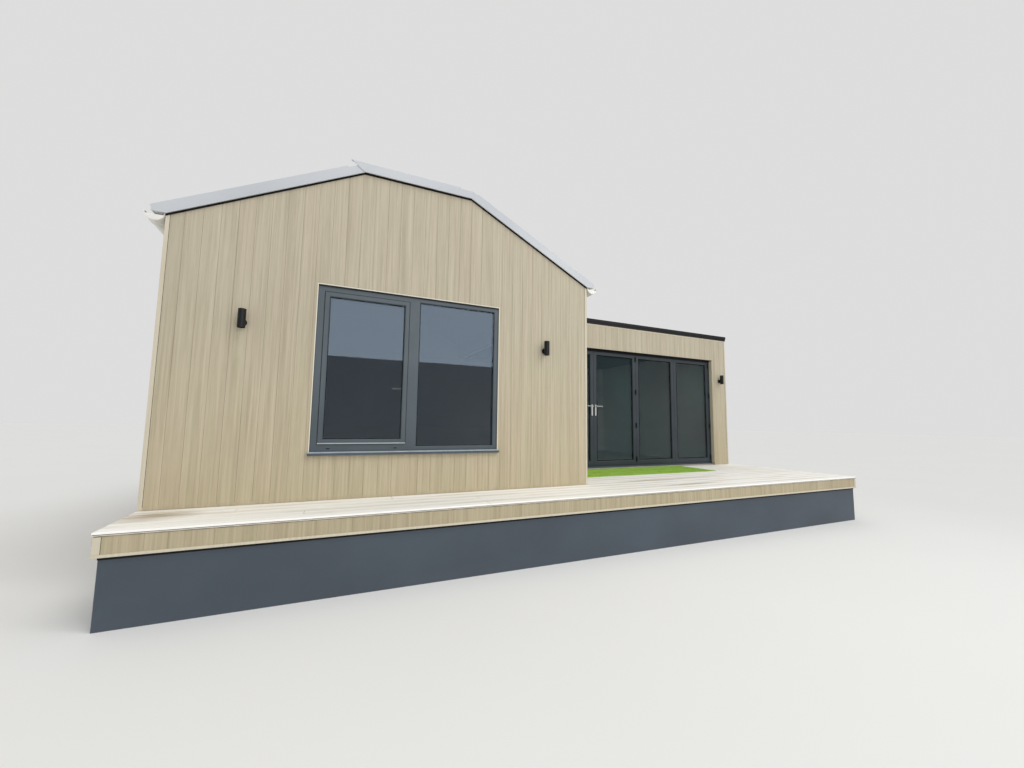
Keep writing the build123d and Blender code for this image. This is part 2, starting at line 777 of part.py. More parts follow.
# The downpipes drop from the gutters, the left one to the ground and the right one to the deck.
with BuildPart() as downpipes:
    for side_x, outward, pipe_y, z_foot in (
        (x_left, -1, y_back - downpipe_inset, downpipe_lift),
        (x_right, 1, y_gutter_short - downpipe_inset, z_deck + downpipe_lift),
    ):
        pipe_x = side_x + outward * (gutter_gap + gutter_radius)
        with BuildSketch(Plane.XY.offset(z_foot)) as pipe:
            with Locations((pipe_x, pipe_y)):
                Circle(downpipe_radius)
        extrude(pipe.sketch, amount=z_gutter - z_foot)
        clip_bay = (z_gutter - gutter_radius - z_foot - 2 * downpipe_inset) / (clip_count - 1)
        for clip in range(clip_count):
            z_clip = z_foot + downpipe_inset + clip * clip_bay
            with BuildSketch(Plane.XY.offset(z_clip)) as collar:
                with Locations((pipe_x, pipe_y)):
                    Circle(downpipe_radius + bracket_depth)
            extrude(collar.sketch, amount=bracket_width)
            clip_x = sorted((side_x, pipe_x))
            block(*clip_x, pipe_y - clip_width / 2, pipe_y + clip_width / 2, z_clip, z_clip + bracket_width)
        with BuildSketch(Plane.XY.offset(z_foot)) as bore:
            with Locations((pipe_x, pipe_y)):
                Circle(downpipe_radius - gutter_wall)
        extrude(bore.sketch, amount=z_gutter - z_foot, mode=Mode.SUBTRACT)
        with BuildSketch(Plane.XZ.offset(-pipe_y - 2 * downpipe_radius)) as seat:
            with Locations((pipe_x, z_gutter)):
                Circle(gutter_radius)
        extrude(seat.sketch, amount=4 * downpipe_radius, mode=Mode.SUBTRACT)
downpipes.part.label = "downpipes"
export_step(downpipes.part, "parts/downpipes.step")

# The wing's flat roof is one insulated panel with a kerb on its three open edges.
with BuildPart() as wing_roof:
    block(x_right_core, x_wing_core, y_wing_core, y_back_core, z_wing_ceiling, z_wing_top)
    block(x_right_core, x_wing_core, y_wing_core, y_wing_core + kerb_width, z_wing_top, z_kerb)
    block(x_right_core, x_wing_core, y_back_core - kerb_width, y_back_core, z_wing_top, z_kerb)
    block(x_wing_core - kerb_width, x_wing_core, y_wing_core, y_back_core, z_wing_top, z_kerb)
wing_roof.part.label = "wing_roof"
export_step(wing_roof.part, "parts/wing_roof.step")

# The black edge trim caps the kerb and hangs over the top of the boards in two steps. Each fold of
# it runs along the front, the right side and the back.
step_set = edge_projection - edge_step
z_shelf = z_wing_top + (kerb_height - edge_lap) / 2


def edge_fold(inner, outer, z_from, z_to):
    """A flat fold on three sides of the wing, from inner to outer outside its boards."""
    block(x_right, x_wing + outer, y_wing - outer, y_wing - inner, z_from, z_to)
    block(x_right, x_wing + outer, y_back + inner, y_back + outer, z_from, z_to)
    block(x_wing + inner, x_wing + outer, y_wing - outer, y_back + outer, z_from, z_to)


with BuildPart() as wing_edge_trim:
    edge_fold(edge_projection - edge_depth, edge_projection, z_shelf, z_kerb)
    edge_fold(step_set - edge_depth, step_set, z_wing_top - edge_lap, z_shelf + edge_depth)
    edge_fold(step_set - edge_depth, edge_projection, z_shelf, z_shelf + edge_depth)
    edge_fold(-edge_leg, edge_projection, z_kerb, z_kerb + edge_depth)
wing_edge_trim.part.label = "wing_edge_trim"
export_step(wing_edge_trim.part, "parts/wing_edge_trim.step")

# A folded flashing turns from the wing's roof up the cut end of the right slope and over it.
with BuildPart() as roof_flashing:
    flashing_rise = flashing_depth / cos(pitch)
    slope_edge = under_roof(x_right_core) + slope_top
    leg_end = slope_edge + flashing_leg * slope_rise
    flashing_outline = [
        (x_right_core, z_wing_top),
        (x_right_core + flashing_foot, z_wing_top),
        (x_right_core + flashing_foot, z_wing_top + flashing_depth),
        (x_right_core + flashing_depth, z_wing_top + flashing_depth),
        (x_right_core + flashing_depth, slope_edge - flashing_depth * slope_rise + flashing_rise),
        (x_right_core - flashing_leg, leg_end + flashing_rise),
        (x_right_core - flashing_leg, leg_end),
        (x_right_core, slope_edge),
    ]
    profile(flashing_outline, y_wing_core + kerb_width, y_back_core - kerb_width)
roof_flashing.part.label = "roof_flashing"
export_step(roof_flashing.part, "parts/roof_flashing.step")

# The window: a fixed light on the right and an opening sash on the left, whose flange laps the
# frame. Each sealed glass unit is held in a groove.
y_window = y_front + window_recess
y_window_end = y_window + window_depth
x_sash = x_window + sash_margin
x_sash_end = x_sash + sash_width
z_sash = z_window + sash_foot
z_sash_end = z_window_end - sash_margin
x_fixed = x_sash_end + mullion_face
x_fixed_end = x_window_end - window_face
z_fixed = z_window + window_foot
z_fixed_end = z_window_end - window_face
y_glass = y_window + glass_set
y_glass_end = y_glass + glass_depth

with BuildPart() as window_frame:
    block(x_window, x_window_end, y_window, y_window_end, z_window, z_window_end)
    block(
        x_sash + sash_lap,
        x_sash_end - sash_lap,
        y_window,
        y_window_end,
        z_sash + sash_lap,
        z_sash_end - sash_lap,
        mode=Mode.SUBTRACT,
    )
    block(x_fixed, x_fixed_end, y_window, y_window_end, z_fixed, z_fixed_end, mode=Mode.SUBTRACT)
    block(
        x_fixed - glass_bite,
        x_fixed_end + glass_bite,
        y_glass,
        y_glass_end,
        z_fixed - glass_bite,
        z_fixed_end + glass_bite,
        mode=Mode.SUBTRACT,
    )
    frame_front = window_frame.faces().sort_by(Axis.Y)[0]
    fixed_opening = frame_front.inner_wires().sort_by(Axis.X)[-1]
    chamfer(fixed_opening.edges(), bead_chamfer)
    chamfer(window_frame.faces().sort_by(Axis.Y)[0].outer_wire().edges(), frame_chamfer)
window_frame.part.label = "window_frame"
export_step(window_frame.part, "parts/window_frame.step")

sash_body = sash_lap + sash_gap
with BuildPart() as window_sash:
    block(x_sash, x_sash_end, y_window - sash_flange, y_window, z_sash, z_sash_end)
    block(
        x_sash + sash_body,
        x_sash_end - sash_body,
        y_window,
        y_window_end - sash_gap,
        z_sash + sash_body,
        z_sash_end - sash_body,
    )
    block(
        x_sash + sash_face,
        x_sash_end - sash_face,
        y_window - sash_flange,
        y_window_end,
        z_sash + sash_face,
        z_sash_end - sash_face,
        mode=Mode.SUBTRACT,
    )
    block(
        x_sash + sash_face - glass_bite,
        x_sash_end - sash_face + glass_bite,
        y_glass,
        y_glass_end,
        z_sash + sash_face - glass_bite,
        z_sash_end - sash_face + glass_bite,
        mode=Mode.SUBTRACT,
    )
    chamfer(window_sash.faces().sort_by(Axis.Y)[0].inner_wires()[0].edges(), bead_chamfer)
    chamfer(window_sash.faces().sort_by(Axis.Y)[0].outer_wire().edges(), frame_chamfer)
window_sash.part.label = "window_sash"
export_step(window_sash.part, "parts/window_sash.step")

with BuildPart() as window_glass:
    for pane_from, pane_to, pane_foot, pane_head in (
        (x_sash + sash_face, x_sash_end - sash_face, z_sash + sash_face, z_sash_end - sash_face),
        (x_fixed, x_fixed_end, z_fixed, z_fixed_end),
    ):
        block(
            pane_from - glass_bite,
            pane_to + glass_bite,
            y_glass,
            y_glass_end,
            pane_foot - glass_bite,
            pane_head + glass_bite,
        )
window_glass.part.label = "window_glass"
export_step(window_glass.part, "parts/window_glass.step")

with BuildPart() as window_sill:
    block(x_window - sill_end, x_window_end + sill_end, y_front - sill_projection, y_front, z_sill, z_window)
    block(x_window, x_window_end, y_front, y_front_core, z_sill, z_window)
    nose = window_sill.edges().filter_by(Axis.X).group_by(Axis.Y)[0].group_by(Axis.Z)[-1]
    chamfer(nose, sill_chamfer)
window_sill.part.label = "window_sill"
export_step(window_sill.part, "parts/window_sill.step")

# The sash opens with a small level handle on its right stile, inside.
with BuildPart() as window_handle:
    x_handle = x_sash_end - (sash_face + sash_body) / 2
    z_handle = z_deck + window_handle_height
    with BuildSketch(Plane.XZ.offset(-y_window_end + sash_gap)) as plate:
        with Locations((x_handle, z_handle)):
            cut_corner_bar(plate_width, window_plate_height, plate_corner)
    extrude(plate.sketch, amount=-plate_depth)
    y_grip = y_window_end - sash_gap + lever_standoff - lever_thickness
    with BuildSketch(Plane.XZ.offset(-y_window_end + sash_gap)) as spindle:
        with Locations((x_handle, z_handle)):
            Circle(lever_thickness / 2)
    extrude(spindle.sketch, amount=-lever_standoff + lever_thickness)
    with BuildSketch(Plane.YZ.offset(x_handle - window_handle_length)) as grip:
        with Locations((y_grip, z_handle)):
            cut_corner_bar(lever_thickness, lever_thickness, lever_corner)
    extrude(grip.sketch, amount=window_handle_length + lever_thickness / 2)
window_handle.part.label = "window_handle"
export_step(window_handle.part, "parts/window_handle.step")

# The folding door: an outer frame on a low threshold, and leaves that meet in pairs.
y_door = y_wing + door_recess
y_door_end = y_door + door_frame_depth
z_threshold = z_floor + threshold_height
x_leaves = x_door + door_face
x_leaves_end = x_door_end - door_face
leaf_pitch = (x_leaves_end - x_leaves - leaf_gap) / leaf_count
leaf_width = leaf_pitch - leaf_gap
z_leaf = z_threshold + leaf_gap
z_leaf_end = z_door_head - door_face - leaf_gap
y_leaf_end = y_door + leaf_depth
y_pane = y_door + (leaf_depth - glass_depth) / 2

with BuildPart() as door_frame:
    block(x_door, x_door_end, y_door, y_door_end, z_floor, z_door_head)
    block(
        x_leaves,
        x_leaves_end,
        y_door,
        y_door_end,
        z_threshold,
        z_door_head - door_face,
        mode=Mode.SUBTRACT,
    )
    y_nose = y_door - threshold_nose
    z_nose = z_floor + threshold_nose_height
    block(x_door, x_door_end, y_nose, y_door, z_floor, z_nose)
    nose = door_frame.edges().filter_by(Axis.X).group_by(Axis.Y)[0].group_by(Axis.Z)[-1]
    chamfer(nose, threshold_chamfer)
door_frame.part.label = "door_frame"
export_step(door_frame.part, "parts/door_frame.step")


def door_leaf(number):
    """One leaf's frame, with the groove that holds its glass."""
    leaf_from = x_leaves + leaf_gap + number * leaf_pitch
    leaf_to = leaf_from + leaf_width
    with BuildPart() as leaf:
        block(leaf_from, leaf_to, y_door, y_leaf_end, z_leaf, z_leaf_end)
        block(
            leaf_from + stile_face,
            leaf_to - stile_face,
            y_door,
            y_leaf_end,
            z_leaf + bottom_rail_face,
            z_leaf_end - top_rail_face,
            mode=Mode.SUBTRACT,
        )
        block(
            leaf_from + stile_face - glass_bite,
            leaf_to - stile_face + glass_bite,
            y_pane,
            y_pane + glass_depth,
            z_leaf + bottom_rail_face - glass_bite,
            z_leaf_end - top_rail_face + glass_bite,
            mode=Mode.SUBTRACT,
        )
        chamfer(leaf.faces().sort_by(Axis.Y)[0].inner_wires()[0].edges(), bead_chamfer)
        chamfer(leaf.faces().sort_by(Axis.Y)[-1].inner_wires()[0].edges(), bead_chamfer)
    return leaf


for number in range(leaf_count):
    leaf = door_leaf(number)
    leaf.part.label = f"door_leaf_{number + 1}"
    export_step(leaf.part, f"parts/door_leaf_{number + 1}.step")

with BuildPart() as door_glass:
    for number in range(leaf_count):
        leaf_from = x_leaves + leaf_gap + number * leaf_pitch
        block(
            leaf_from + stile_face - glass_bite,
            leaf_from + leaf_width - stile_face + glass_bite,
            y_pane,
            y_pane + glass_depth,
            z_leaf + bottom_rail_face - glass_bite,
            z_leaf_end - top_rail_face + glass_bite,
        )
door_glass.part.label = "door_glass"
export_step(door_glass.part, "parts/door_glass.step")

# Lever handles stand on the two stiles that meet beside the first leaf, outside and inside.
x_meeting = x_leaves + leaf_gap / 2 + leaf_pitch
z_plate = z_floor + handle_height

with BuildPart() as door_handles:
    for hand in (-1, 1):
        plate_x = x_meeting + hand * (leaf_gap + stile_face) / 2
        for leaf_face, toward in ((y_door, -1), (y_leaf_end, 1)):
            with BuildSketch(Plane.XZ.offset(-leaf_face)) as plate:
                with Locations((plate_x, z_plate)):
                    cut_corner_bar(plate_width, plate_height, plate_corner)
            extrude(plate.sketch, amount=-toward * plate_depth)
            z_lever = z_plate + plate_height / 2 - plate_width
            with BuildSketch(Plane.XZ.offset(-leaf_face)) as spindle:
                with Locations((plate_x, z_lever)):
                    Circle(lever_thickness / 2)
            extrude(spindle.sketch, amount=-toward * lever_standoff)
            y_lever = leaf_face + toward * (lever_standoff - lever_thickness / 2)
            with BuildSketch(Plane.YZ.offset(min(plate_x, plate_x + hand * lever_length))) as lever:
                with Locations((y_lever, z_lever)):
                    cut_corner_bar(lever_thickness, lever_thickness, lever_corner)
            extrude(lever.sketch, amount=lever_length)
door_handles.part.label = "door_handles"
export_step(door_handles.part, "parts/door_handles.step")

# Hinges join the leaves in the order in which they fold: outside, outside, inside, outside.
z_hinge = z_floor + hinge_foot_inset
hinge_bay = (door_height - hinge_foot_inset - hinge_head_inset) / (hinge_count - 1)

with BuildPart() as door_hinges:
    for joint in range(leaf_count + 1):
        if joint == 1:
            continue
        inside = joint > 1 and joint % 2 == 1
        hinge_x = x_leaves + leaf_gap / 2 + joint * leaf_pitch
        hinge_face = y_leaf_end if inside else y_door
        toward = 1 if inside else -1
        for hinge in range(hinge_count):
            hinge_z = z_hinge + hinge * hinge_bay
            block(
                hinge_x - hinge_plate,
                hinge_x + hinge_plate,
                *sorted((hinge_face, hinge_face + toward * hinge_plate_depth)),
                hinge_z - hinge_length / 2,
                hinge_z + hinge_length / 2,
            )
            with BuildSketch(Plane.XY.offset(hinge_z - hinge_length / 2)) as knuckle:
                with Locations((hinge_x, hinge_face + toward * hinge_radius)):
                    RegularPolygon(hinge_radius, barrel_sides)
            extrude(knuckle.sketch, amount=hinge_length)
door_hinges.part.label = "door_hinges"
export_step(door_hinges.part, "parts/door_hinges.step")

# Up-and-down lights: an upright tube held off the boards by an arm on a round plate.
with BuildPart() as wall_lights:
    for light_x, wall_y in (
        (x_left + light_inset, y_front),
        (x_right - light_inset, y_front),
        (x_wing - door_right_pier / 2, y_wing),
    ):
        z_light = z_deck + light_level
        with BuildSketch(Plane.XY.offset(z_light - light_height / 2)) as tube:
            with Locations((light_x, wall_y - light_standoff)):
                Circle(light_radius)
        extrude(tube.sketch, amount=light_height)
        for z_recess in (z_light - light_height / 2, z_light + light_height / 2 - light_recess):
            with BuildSketch(Plane.XY.offset(z_recess)) as recess:
                with Locations((light_x, wall_y - light_standoff)):
                    Circle(light_radius - light_wall)
            extrude(recess.sketch, amount=light_recess, mode=Mode.SUBTRACT)
        with BuildSketch(Plane.XZ.offset(-wall_y)) as plate:
            with Locations((light_x, z_light - light_drop)):
                Circle(light_plate_radius)
        extrude(plate.sketch, amount=light_plate_depth)
        with BuildSketch(Plane.XZ.offset(-wall_y)) as arm:
            with Locations((light_x, z_light - light_drop)):
                Circle(light_arm_radius)
        extrude(arm.sketch, amount=light_standoff)
wall_lights.part.label = "wall_lights"
export_step(wall_lights.part, "parts/wall_lights.step")

# A mat of artificial turf lies on the deck and runs a little way into the doorway.
with BuildPart() as turf_mat:
    block(
        x_right + mat_left,
        x_right + mat_left + mat_length,
        y_wing + mat_tuck - mat_width,
        y_wing + mat_tuck,
        z_deck,
        z_deck + mat_depth,
    )
turf_mat.part.label = "turf_mat"
export_step(turf_mat.part, "parts/turf_mat.step")
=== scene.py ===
import bpy
import math
import random
from mathutils import Matrix, Vector


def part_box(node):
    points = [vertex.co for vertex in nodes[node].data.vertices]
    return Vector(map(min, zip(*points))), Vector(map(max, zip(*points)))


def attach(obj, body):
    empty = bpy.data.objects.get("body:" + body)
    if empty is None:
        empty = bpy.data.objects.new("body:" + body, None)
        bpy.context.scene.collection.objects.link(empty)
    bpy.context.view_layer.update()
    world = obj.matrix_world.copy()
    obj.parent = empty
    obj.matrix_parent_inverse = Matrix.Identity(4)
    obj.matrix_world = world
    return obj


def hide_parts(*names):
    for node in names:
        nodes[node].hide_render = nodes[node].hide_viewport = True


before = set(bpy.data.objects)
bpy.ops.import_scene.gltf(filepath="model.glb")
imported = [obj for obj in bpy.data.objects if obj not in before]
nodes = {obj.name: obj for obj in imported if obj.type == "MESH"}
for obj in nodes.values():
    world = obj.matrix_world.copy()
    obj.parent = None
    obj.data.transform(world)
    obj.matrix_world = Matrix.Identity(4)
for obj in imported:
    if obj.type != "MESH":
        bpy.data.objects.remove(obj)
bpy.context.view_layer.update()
bpy.ops.object.select_all(action="DESELECT")

# The camera stands in front of the gabled room, a little above the deck, and looks up and to the
# right with a very wide lens, as the photograph was taken.
camera_place = Vector((-3.1184, -7.0132, 1.4737))
camera_heading = -0.4225
camera_rise = 0.0950
camera_roll = -0.0133
camera_lens = 14.341
camera_sensor = 36.0

bpy.ops.object.camera_add(location=camera_place)
camera = bpy.context.object
view = Matrix.Translation(camera_place)
for angle, axis in ((camera_heading, "Z"), (camera_rise, "X"), (camera_roll, "Y"), (math.radians(90), "X")):
    view = view @ Matrix.Rotation(angle, 4, axis)
camera.matrix_world = view
camera.data.sensor_width = camera_sensor
camera.data.lens = camera_lens
bpy.context.scene.camera = camera
bpy.context.scene.view_settings.view_transform = "Standard"


# The studio is a wide pale floor under an even pale sky, with one large soft lamp high on the right, a
# softbox beside it, and a broad light panel far in front, which the window's upper half mirrors. The
# floor is matt, so that it takes the building's shadow alone.
def tint(red, green, blue):
    """A colour as it looks on a screen, 0 to 255, in the shader's own values."""
    shades = []
    for value in (red, green, blue):
        level = value / 255
        shades.append(level / 12.92 if level <= 0.04045 else ((level + 0.055) / 1.055) ** 2.4)
    return (*shades, 1.0)


def preset(material, values):
    """Sets inputs of the material's shader, each by its name."""
    for name, value in values.items():
        material.node_tree.nodes["Principled BSDF"].inputs[name].default_value = value


def finish(name, roughness, colour, metallic=0.0, sheen=0.5):
    """A new material with one even roughness, colour and mirroring."""
    material = bpy.data.materials.new(name)
    material.use_nodes = True
    preset(material, {"Roughness": roughness, "Metallic": metallic, "Specular IOR Level": sheen})
    preset(material, {"Base Color": tint(*colour)})
    return material


def node(material, kind, **settings):
    """A new shader node; a setting named after an input, or i and its number, fills or links that input."""
    made = material.node_tree.nodes.new("ShaderNode" + kind)
    for name, value in settings.items():
        if hasattr(made, name):
            setattr(made, name, value)
            continue
        socket = made.inputs[int(name[1:]) if name[1:].isdigit() else name]
        if isinstance(value, bpy.types.NodeSocket):
            material.node_tree.links.new(value, socket)
        else:
            socket.default_value = value
    return made


def object_place(material):
    """The object's own coordinates."""
    return node(material, "TexCoord").outputs["Object"]


def mottle(material, stretch, detail=3.0, rough=0.55):
    """Soft noise on the object's own coordinates; stretch is its repeats a metre, even or by axis."""
    scale = stretch if isinstance(stretch, tuple) else (stretch,) * 3
    spread = node(material, "Mapping", Vector=object_place(material), Scale=scale).outputs["Vector"]
    noise = node(material, "TexNoise", Vector=spread, Scale=1.0, Detail=detail, Roughness=rough)
    return noise.outputs["Fac"]


def shaded(material, value, stops):
    """Colours along a value from 0 to 1; stops are (place, colour)."""
    ramp = node(material, "ValToRGB", Fac=value)
    band = ramp.color_ramp.elements
    band[0].position, band[0].color = stops[0][0], tint(*stops[0][1])
    band[1].position, band[1].color = stops[-1][0], tint(*stops[-1][1])
    for place, colour in stops[1:-1]:
        band.new(place).color = tint(*colour)
    return ramp.outputs["Color"]


def wired(material, socket, value):
    """Joins a value to an input of the material's shader."""
    shader = material.node_tree.nodes["Principled BSDF"]
    material.node_tree.links.new(value, shader.inputs[socket])


def painted(material, colour):
    """Joins a colour to the material's shader."""
    wired(material, "Base Color", colour)


def two_tone(name, roughness, dark, light, stretch, detail=3.0, sheen=0.5, span=(0.3, 0.7)):
    """A new material whose colour drifts softly between a darker and a lighter tone."""
    material = finish(name, roughness, light, sheen=sheen)
    drift = mottle(material, stretch, detail)
    painted(material, shaded(material, drift, ((span[0], dark), (span[1], light))))
    return material


def combined(material, operation, first, second):
    """Two values put together by one operation."""
    return node(material, "Math", operation=operation, i0=first, i1=second).outputs[0]


def faded(material, value, start, end, first, last):
    """Goes evenly from the first level to the last while the value goes from start to end."""
    levels = {"From Min": start, "From Max": end, "To Min": first, "To Max": last}
    return node(material, "MapRange", Value=value, **levels).outputs["Result"]


floor_reach = 240.0
sky_strength, sky_seen = 0.64, 0.725
lamp_turn = (math.radians(28), math.radians(24), 0.0)
lamp_strength = 0.9
lamp_softness = math.radians(35)
softbox_place = Vector((7.0, -9.0, 8.0))
softbox_aim = Vector((-0.5, -2.4, 1.6))
softbox_size = 4.0
softbox_spread = math.radians(80)
softbox_power = 42.0
panel_place = Vector((-0.1, -14.0, 5.34))
panel_turn = (math.radians(90), 0.0, 0.0)
panel_width, panel_height = 7.8, 3.0
panel_power = 240.0

bpy.ops.mesh.primitive_plane_add(size=floor_reach)
studio_floor = bpy.context.object
studio_floor.name = "studio_floor"
floor_finish = two_tone("studio_floor", 0.9, (233, 233, 231), (237, 237, 235), 0.4, span=(0.0, 1.0))
studio_floor.data.materials.append(floor_finish)

world = bpy.data.worlds.new("studio")
bpy.context.scene.world = world
world.use_nodes = True
sky = world.node_tree.nodes["Background"]
sky.inputs["Color"].default_value = (1.0, 1.0, 1.0, 1.0)
rays = node(world, "LightPath").outputs
seen = rays["Is Camera Ray"]
for other in ("Is Glossy Ray", "Is Transmission Ray"):
    seen = combined(world, "MAXIMUM", seen, rays[other])
sky_level = faded(world, seen, 0.0, 1.0, sky_strength, sky_seen)
world.node_tree.links.new(sky_level, sky.inputs["Strength"])

bpy.ops.object.light_add(type="SUN", rotation=lamp_turn)
lamp = bpy.context.object
lamp.data.energy = lamp_strength
lamp.data.angle = lamp_softness

bpy.ops.object.light_add(type="AREA", location=softbox_place)
softbox = bpy.context.object
softbox.rotation_euler = (softbox_aim - softbox_place).to_track_quat("-Z", "Y").to_euler()
softbox.data.size = softbox_size
softbox.data.energy = softbox_power
softbox.data.spread = softbox_spread
softbox.visible_camera = False

bpy.ops.object.light_add(type="AREA", location=panel_place, rotation=panel_turn)
light_panel = bpy.context.object
light_panel.data.shape = "RECTANGLE"
light_panel.data.size = panel_width
light_panel.data.size_y = panel_height
light_panel.data.energy = panel_power
light_panel.visible_camera = False


# The walls are clad in upright composite boards, about 139 mm to the next, which hook together
# over a backing and leave a narrow shadow joint. Their face is streaked like weathered timber.
board_pitch = 0.1394
board_face = 0.0035
board_joint = 0.0015
board_edge = 0.0008
backing_gap = 0.0002
crown_width = 1.240
warm_bounce_low, warm_bounce_high = 0.7, 2.7

gable_low, gable_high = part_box("gable_front_cladding")
wing_low, wing_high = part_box("wing_front_cladding")
back_low, back_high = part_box("back_cladding")
x_left, x_right, x_wing = gable_low.x, gable_high.x, wing_high.x
y_front, y_wing, y_back = gable_low.y, wing_low.y, back_high.y
z_deck, z_crown = gable_low.z, gable_high.z
z_frame, z_wing_top = back_low.z, wing_high.z
cladding_depth = gable_high.y - gable_low.y
x_right_core = wing_low.x
z_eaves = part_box("roof_slope_left")[0].z
slope = (z_crown - z_eaves) / ((x_right - x_left - crown_width) / 2)
pitch = math.atan(slope)


def blended(material, amount, first, second, mode="MIX"):
    """Two colours mixed by an amount."""
    mix = node(material, "Mix", data_type="RGBA", blend_type=mode, i0=amount, i6=first, i7=second)
    return mix.outputs[2]


def embossed(material, height, strength, depth):
    """Gives the surface a relief of that depth in metres."""
    bump = node(material, "Bump", Height=height, Strength=strength, Distance=depth)
    wired(material, "Normal", bump.outputs["Normal"])


def roughened(material, value, low, high):
    """Lets the roughness vary between two values."""
    wired(material, "Roughness", faded(material, value, 0.0, 1.0, low, high))


def worked(piece, operator, **settings):
    """Works on all of a piece in edit mode with one operator."""
    bpy.context.view_layer.objects.active = piece
    bpy.ops.object.mode_set(mode="EDIT")
    bpy.ops.mesh.select_all(action="SELECT")
    operator(**settings)
    bpy.ops.object.mode_set(mode="OBJECT")


def settled(rotation=False, scale=False):
    """Takes the new piece's place, and its turn or its scale, into its mesh."""
    bpy.ops.object.transform_apply(location=True, rotation=rotation, scale=scale)


def block(name, first, second, edge=0.0):
    """A squared board or bar between two corners, with eased edges where edge isn't 0."""
    low, high = zip(*(sorted(pair) for pair in zip(first, second)))
    centre = [(a + b) / 2 for a, b in zip(low, high)]
    bpy.ops.mesh.primitive_cube_add(size=1, location=centre)
    piece = bpy.context.object
    piece.name = name
    piece.scale = [b - a for a, b in zip(low, high)]
    settled(scale=True)
    if edge:
        worked(piece, bpy.ops.mesh.bevel, offset=edge)
    return piece


def eased(piece, wanted, edge, segments=1):
    """Bevels the edges whose two ends pass the test."""
    bpy.context.tool_settings.mesh_select_mode = (False, True, False)
    for item in (*piece.data.polygons, *piece.data.vertices):
        item.select = False
    for line in piece.data.edges:
        line.select = wanted(*(piece.data.vertices[end].co for end in line.vertices))
    bpy.ops.object.mode_set(mode="EDIT")
    bpy.ops.mesh.bevel(offset=edge, segments=segments)
    bpy.ops.object.mode_set(mode="OBJECT")


def modified(piece, kind, **settings):
    """Gives a piece a modifier and applies it."""
    modifier = piece.modifiers.new("modifier", kind)
    for name, value in settings.items():
        setattr(modifier, name, value)
    bpy.context.view_layer.objects.active = piece
    bpy.ops.object.modifier_apply(modifier=modifier.name)


def repeated(piece, count, step):
    """Rows of a piece, each step from the last."""
    modified(piece, "ARRAY", count=count, use_relative_offset=False, use_constant_offset=True,
             constant_offset_displace=step)


def chosen(pieces):
    """Selects these pieces and no other, the first of them active."""
    bpy.ops.object.select_all(action="DESELECT")
    for piece in pieces:
        piece.select_set(True)
    bpy.context.view_layer.objects.active = pieces[0]


def joined(name, pieces):
    """Several pieces made one."""
    chosen(pieces)
    if len(pieces) > 1:
        bpy.ops.object.join()
    pieces[0].name = name
    return pieces[0]


def sawn(piece, point, normal):
    """Saws off what lies on the normal's side of a plane and closes the cut."""
    worked(piece, bpy.ops.mesh.bisect, plane_co=point, plane_no=normal, use_fill=True, clear_outer=True)


def opened(piece, low, high):
    """Cuts an opening between two corners."""
    cutter = block("cutter", low, high)
    modified(piece, "BOOLEAN", operation="DIFFERENCE", solver="EXACT", object=cutter)
    bpy.data.objects.remove(cutter)


def placed(piece, corner, turn):
    """Turns a piece that was drawn from the front and sets its first corner in place."""
    chosen([piece])
    piece.rotation_euler = (0.0, 0.0, math.radians(turn))
    piece.location = corner
    settled(rotation=True)
    return piece


def marked(piece, name, value):
    """Gives each face a value of its own under a name."""
    marks = piece.data.attributes.new(name, "FLOAT", "FACE")
    for face in piece.data.polygons:
        marks.data[face.index].value = value(face)


def board_wall(name, width, height, corner, turn, cuts=(), opening=None, depth=cladding_depth,
               head_gap=0.0, gap=board_joint, painted_shade=0.0):
    """Upright boards with their backing, drawn from the front, cut to shape and set in place."""
    count = math.ceil(width / board_pitch)
    board_head = height - head_gap
    boards = block(name, (gap / 2, 0, 0), (board_pitch - gap / 2, board_face, board_head))
    eased(boards, lambda a, b: a.y < board_face / 2 and b.y < board_face / 2 and a.x == b.x, board_edge)
    repeated(boards, count, (board_pitch, 0.0, 0.0))
    backing = block("backing", (0, board_face + backing_gap, 0), (width, depth, height))
    wall = joined(name, [boards, backing])
    sawn(wall, (width, 0, 0), (1, 0, 0))
    for point, normal in cuts:
        sawn(wall, point, normal)
    if opening:
        opened(wall, (opening[0], -depth, opening[2]), (opening[1], 2 * depth, opening[3]))
    tones = random.Random(name)
    # A board's tone can be lowered, as painted shade for boards that stand in shade.
    shades = [tones.random() - painted_shade for _ in range(count + 1)]
    marked(wall, "board_tone", lambda face: shades[int(max(0.0, face.center.x) / board_pitch)])
    marked(wall, "joint", lambda face: float(face.center.y > board_face / 2))
    return placed(wall, corner, turn)


def finished(piece, material, replaced=None):
    """Gives a new piece its finish and sets it on the building, in a node's place where one is named."""
    piece.data.materials.append(material)
    if replaced:
        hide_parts(replaced)
    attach(piece, "root")


def place_along(material, axis):
    """The object's own coordinate along one axis."""
    return node(material, "SeparateXYZ", Vector=object_place(material)).outputs[axis]


def weighed(material, *shares):
    """The sum of some values, each times its weight."""
    total = 0.0
    for value, weight in shares:
        total = combined(material, "ADD", total, combined(material, "MULTIPLY", value, weight))
    return total


